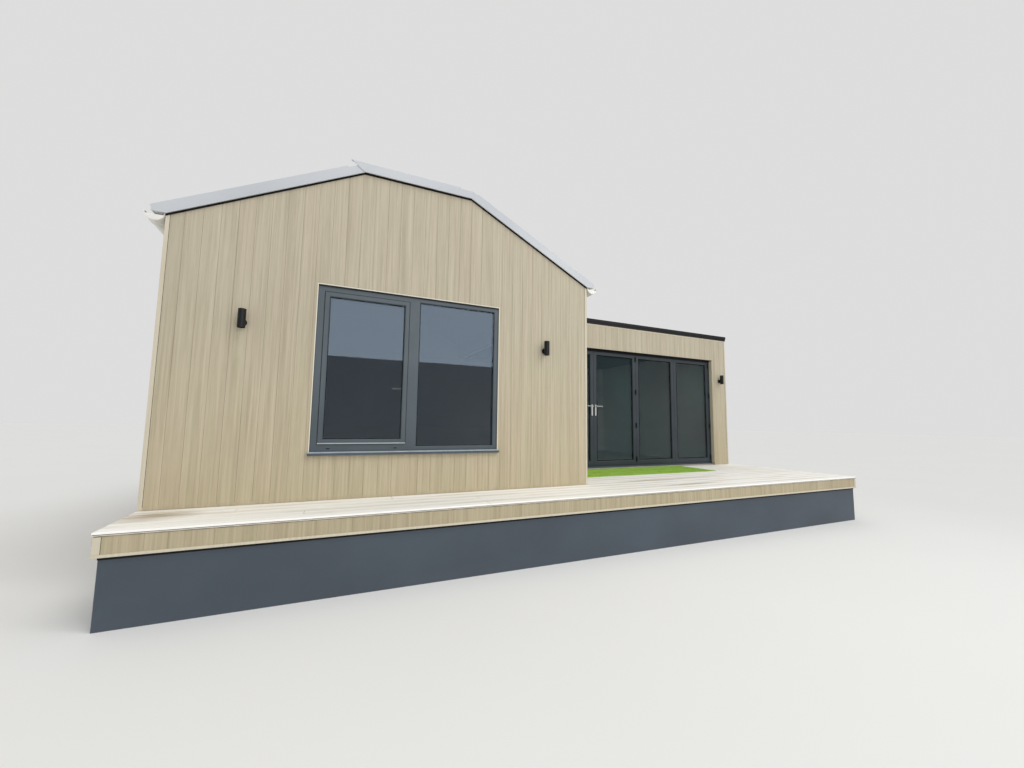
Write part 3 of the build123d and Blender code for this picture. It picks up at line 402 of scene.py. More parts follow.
def composite_face(name, light, middle, dark, joint_shade):
    """Streaked composite: each board has its own tone, with fine grain along its length."""
    material = finish(name, 0.74, middle)
    fine = mottle(material, (48.0, 48.0, 0.9), 5.0, 0.62)
    short = mottle(material, (56.0, 56.0, 5.0), 2.0, 0.6)
    broad = mottle(material, (15.0, 15.0, 0.45), 2.0, 0.5)
    patch = mottle(material, (10.0, 10.0, 0.6), 2.0)
    vein = combined(material, "SUBTRACT", mottle(material, (27.0, 27.0, 0.35), 2.0), 0.5)
    vein_line = faded(material, combined(material, "ABSOLUTE", vein, 0.0), 0.0, 0.085, 0.12, 0.0)
    tone = node(material, "Attribute", attribute_name="board_tone").outputs["Fac"]
    shares = ((fine, 0.64), (short, 0.20), (broad, 0.26), (1.0, -0.05), (tone, 0.06), (vein_line, -1.0))
    face = shaded(material, weighed(material, *shares), ((0.17, dark), (0.50, middle), (0.81, light)))
    warm = shaded(material, patch, ((0.36, (254, 255, 252)), (0.64, (255, 253, 252))))
    face = blended(material, 1.0, face, warm, "MULTIPLY")
    # The face is painted warmer towards the foot, as painted light bounced up from the ground.
    bounce_near_foot = faded(material, place_along(material, "Z"), warm_bounce_low, warm_bounce_high, 1.0, 0.0)
    painted_ground_bounce = blended(material, bounce_near_foot, tint(255, 255, 255), tint(255, 251, 239))
    face = blended(material, 1.0, face, painted_ground_bounce, "MULTIPLY")
    # The backing in the joints is painted darker, as painted shade in the narrow joints.
    shadow = node(material, "Attribute", attribute_name="joint").outputs["Fac"]
    depth = shaded(material, broad, ((0.42, joint_shade), (0.58, middle)))
    painted(material, blended(material, shadow, face, depth))
    embossed(material, fine, 0.25, 0.0010)
    roughened(material, broad, 0.66, 0.84)
    return material


cladding_finish = composite_face(
    "composite_cladding",
    light=(202, 193, 174), middle=(185, 176, 156), dark=(162, 153, 132), joint_shade=(147, 138, 117),
)
turn_left, turn_right, turn_back = -90, 90, 180
z_window_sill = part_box("window_sill")[0].z
window_low, window_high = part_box("window_frame")
door_low, door_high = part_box("door_frame")
rise_left = (-math.sin(pitch), 0, math.cos(pitch))
rise_right = (math.sin(pitch), 0, math.cos(pitch))
rise_inward = (0, -math.sin(pitch), math.cos(pitch))
eaves_over_deck = z_eaves - z_deck
eaves_over_frame = z_eaves - z_frame
gable_width = x_right - x_left
y_front_core = y_front + cladding_depth
y_back_core = y_back - cladding_depth


def clad(name, replaced, *shape, **cut):
    """Boards a wall in the place of its cladding layer."""
    finished(board_wall(name, *shape, **cut), cladding_finish, replaced)


clad(
    "gable_front_boards", "gable_front_cladding", gable_width, z_crown - z_deck, (x_left, y_front, z_deck), 0,
    cuts=(((0, 0, eaves_over_deck), rise_left), ((gable_width, 0, eaves_over_deck), rise_right)),
    opening=(window_low.x - x_left, window_high.x - x_left, z_window_sill - z_deck, window_high.z - z_deck),
)
clad(
    "gable_left_boards", "gable_left_cladding", y_back_core - y_front_core, eaves_over_frame + cladding_depth,
    (x_left, y_back_core, z_frame), turn_left, cuts=(((0, 0, eaves_over_frame), rise_inward),),
)
clad(
    "gable_right_boards", "gable_right_cladding", y_wing - y_front_core, eaves_over_deck + cladding_depth,
    (x_right, y_front_core, z_deck), turn_right, cuts=(((0, 0, eaves_over_deck), rise_inward),),
)
clad(
    "wing_front_boards", "wing_front_cladding", x_wing - x_right, z_wing_top - z_deck,
    (x_right, y_wing, z_deck), 0,
    opening=(door_low.x - x_right, door_high.x - x_right, -cladding_depth, door_high.z - z_deck),
)
clad(
    "wing_right_boards", "wing_right_cladding", y_back_core - y_wing - cladding_depth, z_wing_top - z_frame,
    (x_wing, y_wing + cladding_depth, z_frame), turn_right,
)
back_width = x_right_core - x_left
back_gable = board_wall(
    "back_gable_boards", back_width, z_crown - z_frame, (x_right_core, y_back, z_frame), turn_back,
    cuts=(
        ((x_right_core - x_right, 0, eaves_over_frame), rise_left),
        ((back_width, 0, eaves_over_frame), rise_right),
    ),
)
back_wing = board_wall(
    "back_wing_boards", x_wing - x_right_core, z_wing_top - z_frame, (x_wing, y_back, z_frame), turn_back
)
back_boards = joined("back_boards", [back_gable, back_wing])
finished(back_boards, cladding_finish, "back_cladding")


# Square corner trims cover the ends of the boards, a low starter strip runs along the foot of each
# wall, and a head trim closes the top of the wing's. All are of the same composite, smooth and a
# shade lighter; a thin dark seal lies between each corner trim and its boards and also stands for
# the shadow in that joint.
trim_face, trim_proud = 0.030, 0.002
seal_width, seal_proud = 0.0035, 0.001
post_edge, strip_edge, seal_edge = 0.0015, 0.0006, 0.0003
starter_height, foot_height = 0.028, 0.020
head_height, edge_trim_hang = 0.024, 0.012


def bars(name, corners, edge=0.0):
    """Squared bars, each between two corners, made one piece."""
    return joined(name, [block("bar", low, high, edge) for low, high in corners])


def smooth_face(name, dark, light):
    """Smooth composite with a faint grain."""
    material = two_tone(name, 0.66, dark, light, (60.0, 60.0, 2.0))
    embossed(material, mottle(material, (220.0, 220.0, 8.0)), 0.2, 0.0006)
    return material


smooth_composite = smooth_face("composite_trim", (198, 189, 168), (211, 203, 183))
# The seals' dark colour also stands for the shadow in the joints beside the trims.
seal_shadow_finish = two_tone("composite_seal_shadow", 0.85, (84, 75, 61), (104, 95, 79), (90.0, 90.0, 4.0))


def composite_bars(name, corners, edge, material=smooth_composite):
    """Composite bars, each between two corners, made one finished piece."""
    finished(bars(name, corners, edge), material)


corner_posts = []
corner_gaps = []
for corner_x, corner_y, z_from, z_to in (
    (x_left, y_front, z_deck, z_eaves),
    (x_right, y_front, z_deck, z_eaves),
    (x_wing, y_wing, z_deck, z_wing_top),
    (x_left, y_back, z_frame, z_eaves),
    (x_wing, y_back, z_frame, z_wing_top),
):
    side = -1 if corner_x == x_left else 1
    front = 1 if corner_y == y_back else -1
    inner_x = corner_x - side * trim_face
    inner_y = corner_y - front * trim_face
    corner_posts.append((
        (corner_x + side * trim_proud, corner_y + front * trim_proud, z_from),
        (inner_x, inner_y, z_to),
    ))
    corner_gaps += [
        ((inner_x, corner_y, z_from),
         (corner_x - side * (trim_face + seal_width), corner_y + front * seal_proud, z_to)),
        ((corner_x, inner_y, z_from),
         (corner_x + side * seal_proud, corner_y - front * (trim_face + seal_width), z_to)),
    ]
corner_posts.append((
    (x_left - trim_proud, y_front, z_frame),
    (x_left + trim_face, y_front + trim_face, z_deck),
))
corner_gaps.append((
    (x_left - seal_proud, y_front + trim_face, z_frame),
    (x_left, y_front + trim_face + seal_width, z_deck),
))
composite_bars("corner_trims", corner_posts, post_edge)
composite_bars("corner_seal_shadows", corner_gaps, seal_edge, seal_shadow_finish)

z_starter = z_deck + starter_height
z_foot = z_frame + foot_height
composite_bars("foot_strips", (
    ((x_left + trim_face, y_front - trim_proud, z_deck), (x_right - trim_face, y_front, z_starter)),
    ((x_right, y_front + trim_face, z_deck), (x_right + trim_proud, y_wing, z_starter)),
    ((x_right + trim_proud, y_wing - trim_proud, z_deck), (door_low.x, y_wing, z_starter)),
    ((door_high.x, y_wing - trim_proud, z_deck), (x_wing - trim_face, y_wing, z_starter)),
    ((x_left - trim_proud, y_front + trim_face, z_frame), (x_left, y_back - trim_face, z_foot)),
    ((x_wing, y_wing, z_frame), (x_wing + trim_proud, y_back - trim_face, z_foot)),
    ((x_left + trim_face, y_back, z_frame), (x_wing - trim_face, y_back + trim_proud, z_foot)),
), strip_edge, cladding_finish)

z_head = z_wing_top - edge_trim_hang
z_under_head = z_head - head_height
composite_bars("head_trims", (
    ((x_right, y_wing - trim_proud, z_under_head), (x_wing - trim_face, y_wing, z_head)),
    ((x_wing, y_wing + trim_face, z_under_head), (x_wing + trim_proud, y_back - trim_face, z_head)),
    ((x_right, y_back, z_under_head), (x_wing - trim_face, y_back + trim_proud, z_head)),
), strip_edge)


# The deck's edge is closed by short upright boards of the same composite, with a pale strip along
# their foot and a square trim on each front corner. They stop a little under the deck's boards.
fascia_low, fascia_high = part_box("deck_fascia")
fascia_depth = 0.020
fascia_height = fascia_high.z - fascia_low.z
fascia_gap = 0.009
fascia_joint = 0.0005
# The fascia boards' tone is lowered, as painted shade under the deck's edge.
fascia_painted_shade = 2.0
fascia_parts = []
for name, length, start, turn in (
    ("fascia_front", fascia_high.x - fascia_low.x, (fascia_low.x, fascia_low.y), 0),
    ("fascia_left", y_front - fascia_low.y - fascia_depth, (fascia_low.x, y_front), turn_left),
    ("fascia_right", fascia_high.y - fascia_low.y - fascia_depth,
     (fascia_high.x, fascia_low.y + fascia_depth), turn_right),
    ("fascia_return", fascia_high.x - x_wing - fascia_depth,
     (fascia_high.x - fascia_depth, fascia_high.y), turn_back),
):
    fascia_parts.append(board_wall(
        name, length, fascia_height, (*start, fascia_low.z), turn,
        depth=fascia_depth, head_gap=fascia_gap, gap=fascia_joint, painted_shade=fascia_painted_shade,
    ))
finished(joined("fascia_boards", fascia_parts), cladding_finish, "deck_fascia")

strip_proud, strip_height = 0.004, 0.021
fascia_strip_edge = 0.001
corner_face = 0.044
z_strip = fascia_low.z + strip_height
z_corner_top = fascia_high.z - fascia_gap
composite_bars("fascia_strip", (
    ((fascia_low.x - strip_proud, fascia_low.y - strip_proud, fascia_low.z),
     (fascia_high.x + strip_proud, fascia_low.y, z_strip)),
    ((fascia_low.x - strip_proud, fascia_low.y, fascia_low.z), (fascia_low.x, y_front, z_strip)),
    ((fascia_high.x, fascia_low.y, fascia_low.z), (fascia_high.x + strip_proud, fascia_high.y, z_strip)),
), fascia_strip_edge)
fascia_ends = ((fascia_low.x, 1), (fascia_high.x, -1))
composite_bars("fascia_corners", [
    ((end_x - inward * trim_proud, fascia_low.y - trim_proud, z_strip),
     (end_x + inward * corner_face, fascia_low.y + corner_face, z_corner_top))
    for end_x, inward in fascia_ends
], post_edge)
composite_bars("fascia_seal_shadows", [
    ((end_x + inward * corner_face, fascia_low.y - seal_proud, z_strip),
     (end_x + inward * corner_face + inward * seal_width, fascia_low.y, z_corner_top))
    for end_x, inward in fascia_ends
], seal_edge, seal_shadow_finish)


# The deck is laid in pale composite boards along the front, five rows before the gable and more
# beside it, with open joints between rows and butt joints that step from row to row. The front
# edge is grooved near its foot, and its groove is painted dark as shade. The boards are greyer
# beside the joints, and dirt gathers where water stands.
deck_low, deck_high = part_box("deck_boards")
front_rows = 5
row_pitch = (y_front - deck_low.y) / front_rows
row_gap, butt_gap = 0.005, 0.003
stock_length = 3.6
stagger = (2.95, 1.30, 2.95, 0.75, 2.1)
plank_edge = 0.0028
groove_foot, groove_head = 0.0035, 0.0105
groove_depth = 0.007
groove_length, groove_reach = 200.0, 0.006
dirt_from, dirt_to = 0.006, 0.062
stain_level, stain_reach = 0.68, 0.1


def picked(piece, wanted):
    """Selects only the faces that pass the test."""
    bpy.context.tool_settings.mesh_select_mode = (False, False, True)
    for item in (*piece.data.vertices, *piece.data.edges):
        item.select = False
    for face in piece.data.polygons:
        face.select = wanted(face)


def grooved(board):
    """Runs a groove low along a board's front edge."""
    foot, head = deck_low.z + groove_foot, deck_low.z + groove_head
    for level in (foot, head):
        worked(board, bpy.ops.mesh.bisect, plane_co=(0, 0, level), plane_no=(0, 0, 1))
    picked(board, lambda face: face.normal.y < -0.9 and foot < face.center.z < head)
    bpy.ops.object.mode_set(mode="EDIT")
    bpy.ops.mesh.extrude_region_move(TRANSFORM_OT_translate={"value": (0, groove_depth, 0)})
    bpy.ops.object.mode_set(mode="OBJECT")


def near(material, point, reach):
    """1 at a point of the object, falling to 0 at its reach along X, Y and Z."""
    scale = [1 / length for length in reach]
    shift = [-value / length for value, length in zip(point, reach)]
    spread = node(material, "Mapping", Vector=object_place(material), Location=shift, Scale=scale)
    distance = node(material, "VectorMath", operation="LENGTH", i0=spread.outputs["Vector"])
    return faded(material, distance.outputs["Value"], 0.0, 1.0, 1.0, 0.0)


deck_rows = []
row_number = 0
row_y = deck_low.y
while row_y < y_wing - row_gap:
    row_end = min(row_y + row_pitch - row_gap, y_wing)
    if row_y > y_wing - row_pitch:
        row_end = y_wing
    board_from = deck_low.x if row_y < y_front - row_gap else x_right
    board_to = deck_low.x + stagger[row_number % len(stagger)]
    while board_from < deck_high.x - butt_gap:
        if board_to > board_from + butt_gap:
            board_end = min(board_to, deck_high.x)
            gap = butt_gap * (board_end < deck_high.x)
            board = block("deck_board", (board_from, row_y, deck_low.z),
                          (board_end - gap, row_end, deck_high.z), plank_edge)
            if row_number == 0:
                grooved(board)
            deck_rows.append(board)
            board_from = board_end
        board_to += stock_length
    row_y += row_pitch
    row_number += 1
deck_rows.append(block("deck_board", (x_wing, y_wing + row_gap, deck_low.z),
                       (deck_high.x, deck_high.y, deck_high.z), plank_edge))
for number, board in enumerate(deck_rows):
    shade = random.Random(number).random()
    marked(board, "board_tone", lambda face: shade)

decking = finish("composite_decking", 0.62, (238, 235, 226))
deck_grain = mottle(decking, (1.3, 120.0, 120.0), 4.0, 0.6)
deck_wear = mottle(decking, (1.1, 9.0, 9.0), 4.0, 0.6)
deck_tone = node(decking, "Attribute", attribute_name="board_tone").outputs["Fac"]
deck_mix = weighed(decking, (deck_grain, 0.6), (deck_tone, 0.2))
deck_tones = ((0.15, (246, 244, 236)), (0.40, (251, 250, 244)), (0.70, (254, 253, 249)))
deck_colour = shaded(decking, deck_mix, deck_tones)
deck_y = place_along(decking, "Y")
# The boards are greyer beside the row joints, away from the front row.
joint_y = combined(decking, "SUBTRACT", deck_y, deck_low.y - row_gap / 2)
from_joint = combined(decking, "PINGPONG", joint_y, row_pitch / 2)
joint_greying = faded(decking, from_joint, dirt_from, dirt_to, 1.0, 0.0)
patchy = faded(decking, deck_wear, 0.40, 0.62, 0.0, 1.0)
off_edge = combined(decking, "GREATER_THAN", deck_y, deck_low.y + row_pitch / 2)
grey_bands = combined(decking, "MULTIPLY", joint_greying, off_edge)
grey_bands = combined(decking, "MULTIPLY", grey_bands, combined(decking, "ADD", patchy, 0.30))
dirt = 0.0
for stain_x, stain_y, length, width, strength in (
    (-4.41, -2.70, 0.42, 0.26, 0.85),
    (1.15, -2.41, 0.70, 0.060, 1.0),
    (1.95, -2.37, 0.60, 0.045, 0.8),
    (1.35, -2.85, 0.80, 0.075, 0.9),
):
    stain = near(decking, (stain_x, stain_y, stain_level), (length, width, stain_reach))
    damp = combined(decking, "MULTIPLY", stain, strength)
    broken = combined(decking, "MULTIPLY", damp, combined(decking, "ADD", patchy, 0.35))
    dirt = combined(decking, "MAXIMUM", dirt, broken)
deck_colour = blended(decking, grey_bands, deck_colour, tint(224, 218, 206))
# The groove in the front edge is painted dark, as painted shade inside it.
groove_point = (0.0, deck_low.y + groove_depth, deck_low.z + (groove_foot + groove_head) / 2)
groove_painted_shade = near(decking, groove_point, (groove_length, groove_reach, groove_reach))
deck_colour = blended(decking, groove_painted_shade, deck_colour, tint(92, 80, 64))
painted(decking, blended(decking, dirt, deck_colour, tint(164, 147, 118)))
embossed(decking, deck_grain, 0.25, 0.0010)
roughened(decking, deck_wear, 0.52, 0.72)
finished(joined("deck_planks", deck_rows), decking, "deck_boards")


# A mat of artificial turf lies loose on the deck boards, with one long edge in the doorway. Short
# green blades stand all over a thin woven back.
mat_low, mat_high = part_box("turf_mat")
mat_length, mat_width = 2.932, 0.858
blade_height, blade_width, blade_sides = 0.011, 0.0028, 3
patch_columns, patch_rows = 20, 11
patches_long, patches_deep = 12, 6
blade_step_x = mat_length / (patch_columns * patches_long)
blade_step_y = mat_width / (patch_rows * patches_deep)
blade_shift, blade_lean, blade_turn = 0.25, 0.35, 2.0
blade_sunk = 0.001
back_depth = 0.004
back_cuts = 12

turf_back = block("turf_mat_back", mat_low, (mat_high.x, mat_high.y, mat_low.z + back_depth))
worked(turf_back, bpy.ops.mesh.subdivide, number_cuts=back_cuts)

lean = random.Random(7)
blades = []
for column in range(patch_columns):
    for line in range(patch_rows):
        bpy.ops.mesh.primitive_cone_add(
            vertices=blade_sides,
            radius1=blade_width,
            depth=blade_height,
            end_fill_type="NOTHING",
            location=(
                mat_low.x + blade_step_x * (column + 0.5 + lean.uniform(-blade_shift, blade_shift)),
                mat_low.y + blade_step_y * (line + 0.5 + lean.uniform(-blade_shift, blade_shift)),
                mat_low.z + back_depth + blade_height / 2 - blade_sunk,
            ),
            rotation=(
                lean.uniform(-blade_lean, blade_lean),
                lean.uniform(-blade_lean, blade_lean),
                lean.uniform(0, blade_turn),
            ),
        )
        blades.append(bpy.context.object)
turf_pile = joined("turf_pile", blades)
settled(rotation=True, scale=True)
repeated(turf_pile, patches_long, (blade_step_x * patch_columns, 0, 0))
repeated(turf_pile, patches_deep, (0, blade_step_y * patch_rows, 0))

turf = finish("turf", 0.85, (140, 172, 72))
turf_patch = mottle(turf, 6.0)
turf_strand = mottle(turf, (160.0, 160.0, 60.0), 1.0)
turf_mix = weighed(turf, (turf_patch, 0.4), (turf_strand, 0.6))
turf_tones = ((0.30, (124, 163, 58)), (0.50, (163, 199, 86)), (0.72, (192, 221, 116)))
painted(turf, shaded(turf, turf_mix, turf_tones))
finished(turf_back, turf, "turf_mat")
finished(turf_pile, turf)


# The skirt is smooth slate-grey panel from the ground to the fascia. It is screwed to the posts
# and shows a faint bloom of dust near the ground. A black strip of fine mesh runs along its head and
# stands for the shadow under the fascia.
def covered(material, *names):
    """Gives carried-over pieces their finish."""
    for name in names:
        piece = nodes[name]
        piece.data.materials.clear()
        piece.data.materials.append(material)


def dusted(material, amount, dust):
    """Lays a second colour over the first by an amount."""
    shader = material.node_tree.nodes["Principled BSDF"]
    paint = shader.inputs["Base Color"].links[0].from_socket
    painted(material, blended(material, amount, paint, dust))


skirt_finish = two_tone("skirt_board", 0.52, (61, 70, 80), (68, 79, 90), (1.2, 1.2, 1.6))
splash_height, splash_strength = 0.14, 0.05
low_splash = faded(skirt_finish, place_along(skirt_finish, "Z"), 0.0, splash_height, splash_strength, 0.0)
splash_edge = mottle(skirt_finish, (9.0, 9.0, 5.0), 5.0, 0.7)
dusted(skirt_finish, combined(skirt_finish, "MULTIPLY", low_splash, splash_edge), tint(150, 134, 110))
embossed(skirt_finish, mottle(skirt_finish, 45.0, 2.0), 0.08, 0.001)
covered(skirt_finish, "skirt_front", "skirt_back", "skirt_left", "skirt_right")

# The black mesh strip at the skirt's head stands for the shadow under the fascia.
shadow_strip_height, shadow_strip_depth, shadow_strip_edge = 0.022, 0.005, 0.001
skirt_low, skirt_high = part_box("skirt_front")
z_shadow_strip = fascia_low.z
z_shadow_strip_foot = z_shadow_strip - shadow_strip_height
shadow_strip_finish = finish("shadow_strip_mesh", 0.6, (20, 20, 21), sheen=0.2)
shadow_strip_place = object_place(shadow_strip_finish)
shadow_strip_mesh = node(shadow_strip_finish, "TexVoronoi", Vector=shadow_strip_place, Scale=260.0).outputs["Distance"]
painted(shadow_strip_finish, shaded(shadow_strip_finish, shadow_strip_mesh, ((0.25, (9, 9, 10)), (0.55, (27, 27, 29)))))
embossed(shadow_strip_finish, shadow_strip_mesh, 0.5, 0.0010)
finished(bars("shadow_strip", (
    ((skirt_low.x, skirt_low.y - shadow_strip_depth, z_shadow_strip_foot), (skirt_high.x, skirt_low.y, z_shadow_strip)),
    ((skirt_low.x - shadow_strip_depth, skirt_low.y, z_shadow_strip_foot), (skirt_low.x, y_front, z_shadow_strip)),
    ((skirt_high.x, skirt_low.y, z_shadow_strip_foot), (skirt_high.x + shadow_strip_depth, fascia_high.y, z_shadow_strip)),
), shadow_strip_edge), shadow_strip_finish)


# Posts, bearers and joists under the floor are rough sawn, pressure-treated timber, greenish brown
# with the grain along each length.
timber_finish = finish("treated_timber", 0.85, (148, 130, 92))
timber_grain = mottle(timber_finish, (26.0, 26.0, 3.0), 5.0, 0.65)
timber_tones = ((0.25, (112, 98, 62)), (0.50, (150, 134, 94)), (0.75, (176, 160, 118)))
painted(timber_finish, shaded(timber_finish, timber_grain, timber_tones))
embossed(timber_finish, timber_grain, 0.5, 0.002)
covered(timber_finish, "support_posts", "floor_frame", "deck_frame")


# Inside, the walls are plastered and painted white, and the floor is laid in pale grey boards that
# run from the front to the back. White skirting boards with an eased top stand all round.
lining_finish = two_tone("painted_lining", 0.8, (232, 232, 228), (240, 240, 237), 2.0)
embossed(lining_finish, mottle(lining_finish, 90.0), 0.10, 0.0008)
covered(
    lining_finish, "gable_front_wall", "gable_back_wall", "gable_left_wall", "gable_right_wall",
    "eaves_beam", "wing_front_wall", "wing_right_wall", "wing_back_wall",
)

floor_boards = finish("floor_finish", 0.42, (178, 174, 168))
quarter_turn = (0.0, 0.0, math.radians(90))
floor_turn = node(floor_boards, "Mapping", Vector=object_place(floor_boards), Rotation=quarter_turn)
floor_size = {"Brick Width": 1.28, "Row Height": 0.19, "Mortar Size": 0.0015}
laid = node(
    floor_boards, "TexBrick", Vector=floor_turn.outputs["Vector"], Scale=1.0, Bias=0.0, **floor_size,
    Color1=tint(186, 181, 173), Color2=tint(166, 161, 154), Mortar=tint(110, 106, 100),
)
floor_grain = mottle(floor_boards, (60.0, 2.0, 2.0), 4.0, 0.6)
painted(floor_boards, blended(floor_boards, floor_grain, laid.outputs["Color"], tint(150, 145, 138)))
covered(floor_boards, "floor")

skirting_height, skirting_depth, skirting_edge = 0.095, 0.015, 0.006
room_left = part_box("gable_left_wall")[1].x
room_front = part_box("gable_front_wall")[1].y
side_wall_low, side_wall_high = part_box("gable_right_wall")
wing_inner_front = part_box("wing_front_wall")[1].y
room_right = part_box("wing_right_wall")[0].x
room_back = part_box("gable_back_wall")[0].y
z_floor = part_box("floor")[1].z
z_skirting = z_floor + skirting_height
z_below_top = z_skirting - skirting_edge
skirting_boards = bars("skirting_boards", (
    ((room_left, room_front, z_floor), (room_left + skirting_depth, room_back, z_skirting)),
    ((room_left, room_back - skirting_depth, z_floor), (room_right, room_back, z_skirting)),
    ((room_left, room_front, z_floor), (side_wall_low.x, room_front + skirting_depth, z_skirting)),
    ((side_wall_low.x - skirting_depth, room_front, z_floor),
     (side_wall_low.x, side_wall_high.y, z_skirting)),
    ((room_right - skirting_depth, wing_inner_front, z_floor), (room_right, room_back, z_skirting)),
    ((door_high.x, wing_inner_front, z_floor), (room_right, wing_inner_front + skirting_depth, z_skirting)),
))
eased(skirting_boards, lambda a, b: min(a.z, b.z) > z_below_top, skirting_edge, 2)
skirting_finish = two_tone("skirting_paint", 0.45, (234, 234, 231), (241, 241, 238), 30.0)
finished(skirting_boards, skirting_finish)


# The gable roof is laminated in light grey glass fibre over insulated panels; below, inside, the
# same panels are lined in white. The verge trims are folded in a lighter grey, and a black rubber
# seal closes the slot between them and the boards; it hangs below the slot as painted shadow of the
# trims on the boards.
def looking_up(material):
    """How far a face looks up: 1 straight up, -1 straight down."""
    facing = node(material, "NewGeometry").outputs["True Normal"]
    return node(material, "SeparateXYZ", Vector=facing).outputs["Z"]


laminate = finish("roof_laminate", 0.42, (186, 189, 191))
laminate_cloud = mottle(laminate, 1.5, 4.0)
laminate_speck = mottle(laminate, 160.0, 2.0)
laminate_mix = weighed(laminate, (laminate_cloud, 0.6), (laminate_speck, 0.4))
laminate_top = shaded(laminate, laminate_mix, ((0.35, (179, 182, 184)), (0.65, (194, 197, 199))))
laminate_under = combined(laminate, "LESS_THAN", looking_up(laminate), -0.5)
painted(laminate, blended(laminate, laminate_under, laminate_top, tint(236, 236, 232)))
embossed(laminate, laminate_speck, 0.2, 0.0010)
covered(laminate, "roof_slope_left", "roof_slope_right", "roof_crown")

trim_finish = two_tone("roof_trim", 0.55, (190, 194, 199), (202, 205, 209), 1.1, 2.0, sheen=0.2)
embossed(trim_finish, mottle(trim_finish, 120.0), 0.10, 0.0005)
covered(trim_finish, "verge_trims_front", "verge_trims_back", "roof_flashing")

# The black seal hangs below the slot, as painted shadow of the trims on the boards.
verge_slot, verge_shadow_drop = 0.014, 0.018
x_crown_left = (x_left + x_right - crown_width) / 2
x_crown_right = x_crown_left + crown_width
verge_shadow_fall = verge_shadow_drop / math.cos(pitch)
verge_seals_and_shadow = []
for face_y, outward, x_end in ((y_front, -1, x_right), (y_back, 1, x_right_core)):
    outer_y = face_y + outward * verge_slot
    for x_from, x_to, x_eaves, rise in (
        (x_left, x_crown_left, x_left, rise_left),
        (x_crown_right, x_end, x_right, rise_right),
    ):
        seal = block("seal", (x_from, face_y, z_eaves - verge_shadow_fall), (x_to, outer_y, z_crown))
        sawn(seal, (x_eaves, 0, z_eaves), rise)
        sawn(seal, (x_eaves, 0, z_eaves - verge_shadow_fall), [-value for value in rise])
        verge_seals_and_shadow.append(seal)
    verge_seals_and_shadow.append(block("seal", (x_crown_left, face_y, z_crown - verge_shadow_drop),
                             (x_crown_right, outer_y, z_crown)))
rubber_finish = two_tone("rubber_seal", 0.82, (15, 14, 14), (27, 26, 26), 40.0, sheen=0.15)
finished(joined("verge_seals_and_shadow", verge_seals_and_shadow), rubber_finish)


# Half-round gutters and round downpipes are white moulded plastic with a soft shine, a little
# greyed by the weather.
gutter_finish = two_tone(
    "gutter_plastic", 0.32, (222, 221, 214), (236, 235, 231), (3.0, 3.0, 7.0), 4.0, span=(0.30, 0.60)
)
covered(gutter_finish, "gutter_left", "gutter_right", "downpipes")


# The wing's flat roof is covered in dark grey rubber membrane, turned up inside the kerb. A black
# folded trim caps the kerb.
membrane_finish = two_tone("roof_membrane", 0.7, (58, 59, 62), (78, 79, 81), 1.4, 4.0, span=(0.35, 0.65))
embossed(membrane_finish, mottle(membrane_finish, 18.0), 0.2, 0.002)
covered(membrane_finish, "wing_roof")
edge_finish = two_tone("edge_trim", 0.55, (16, 15, 18), (25, 23, 27), 8.0, sheen=0.25)
covered(edge_finish, "wing_edge_trim")


# The window is powder-coated aluminium in blue-grey anthracite, satin: a fixed light beside an
# opening sash with a drip bar along its foot; the drip bar and the sill's top are painted lighter, as a
# painted reflection of the sky. Its sealed glass units are set in dark rubber, a dark ring round the sash
# stands for the shadow in its gap, small caps cover the drain slots, and cream beads and a black head
# flashing, which also stands for the shadow over the frame, finish its opening.
def powder_coat(name, roughness, dark, light):
    """Satin powder coat with a faint grain."""
    material = two_tone(name, roughness, dark, light, 3.0)
    embossed(material, mottle(material, 900.0, 1.0), 0.10, 0.0002)
    return material


def ring(name, low, high, face):
    """A flat frame between two corners, seen from the front, of one face width."""
    piece = block(name, low, high)
    picked(piece, lambda side: abs(side.normal.y) > 0.9)
    bpy.ops.object.mode_set(mode="EDIT")
    bpy.ops.mesh.inset(thickness=face, use_individual=True)
    bpy.ops.mesh.bridge_edge_loops()
    bpy.ops.mesh.select_all(action="SELECT")
    bpy.ops.mesh.normals_make_consistent(inside=False)
    bpy.ops.object.mode_set(mode="OBJECT")
    return piece


covered(powder_coat("window_paint", 0.42, (68, 79, 86), (76, 87, 94)), "window_frame", "window_sash")

sill_finish = powder_coat("window_sill_paint", 0.32, (64, 76, 85), (72, 84, 93))
# The sill's upward faces are painted a lighter grey, as a painted reflection of the sky.
sill_highlight_mask = combined(sill_finish, "GREATER_THAN", looking_up(sill_finish), 0.3)
sill_highlight_tones = ((0.3, (150, 160, 166)), (0.7, (178, 186, 190)))
sill_highlight = shaded(sill_finish, mottle(sill_finish, (9.0, 40.0, 40.0)), sill_highlight_tones)
dusted(sill_finish, combined(sill_finish, "MULTIPLY", sill_highlight_mask, 0.8), sill_highlight)
covered(sill_finish, "window_sill")

window_bead, window_foot = 0.058, 0.048
mullion_face, sash_face = 0.122, 0.050
glass_set, bead_depth = 0.014, 0.008
gasket_face = 0.005
sash_low, sash_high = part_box("window_sash")
y_glass = window_low.y + glass_set
finished(joined("window_gaskets", [
    ring("gasket", (low_x, window_low.y + bead_depth, low_z), (high_x, y_glass, high_z), gasket_face)
    for low_x, low_z, high_x, high_z in (
        (sash_low.x + sash_face, sash_low.z + sash_face, sash_high.x - sash_face, sash_high.z - sash_face),
        (sash_high.x + mullion_face, window_low.z + window_foot,
         window_high.x - window_bead, window_high.z - window_bead),
    )
]), rubber_finish)

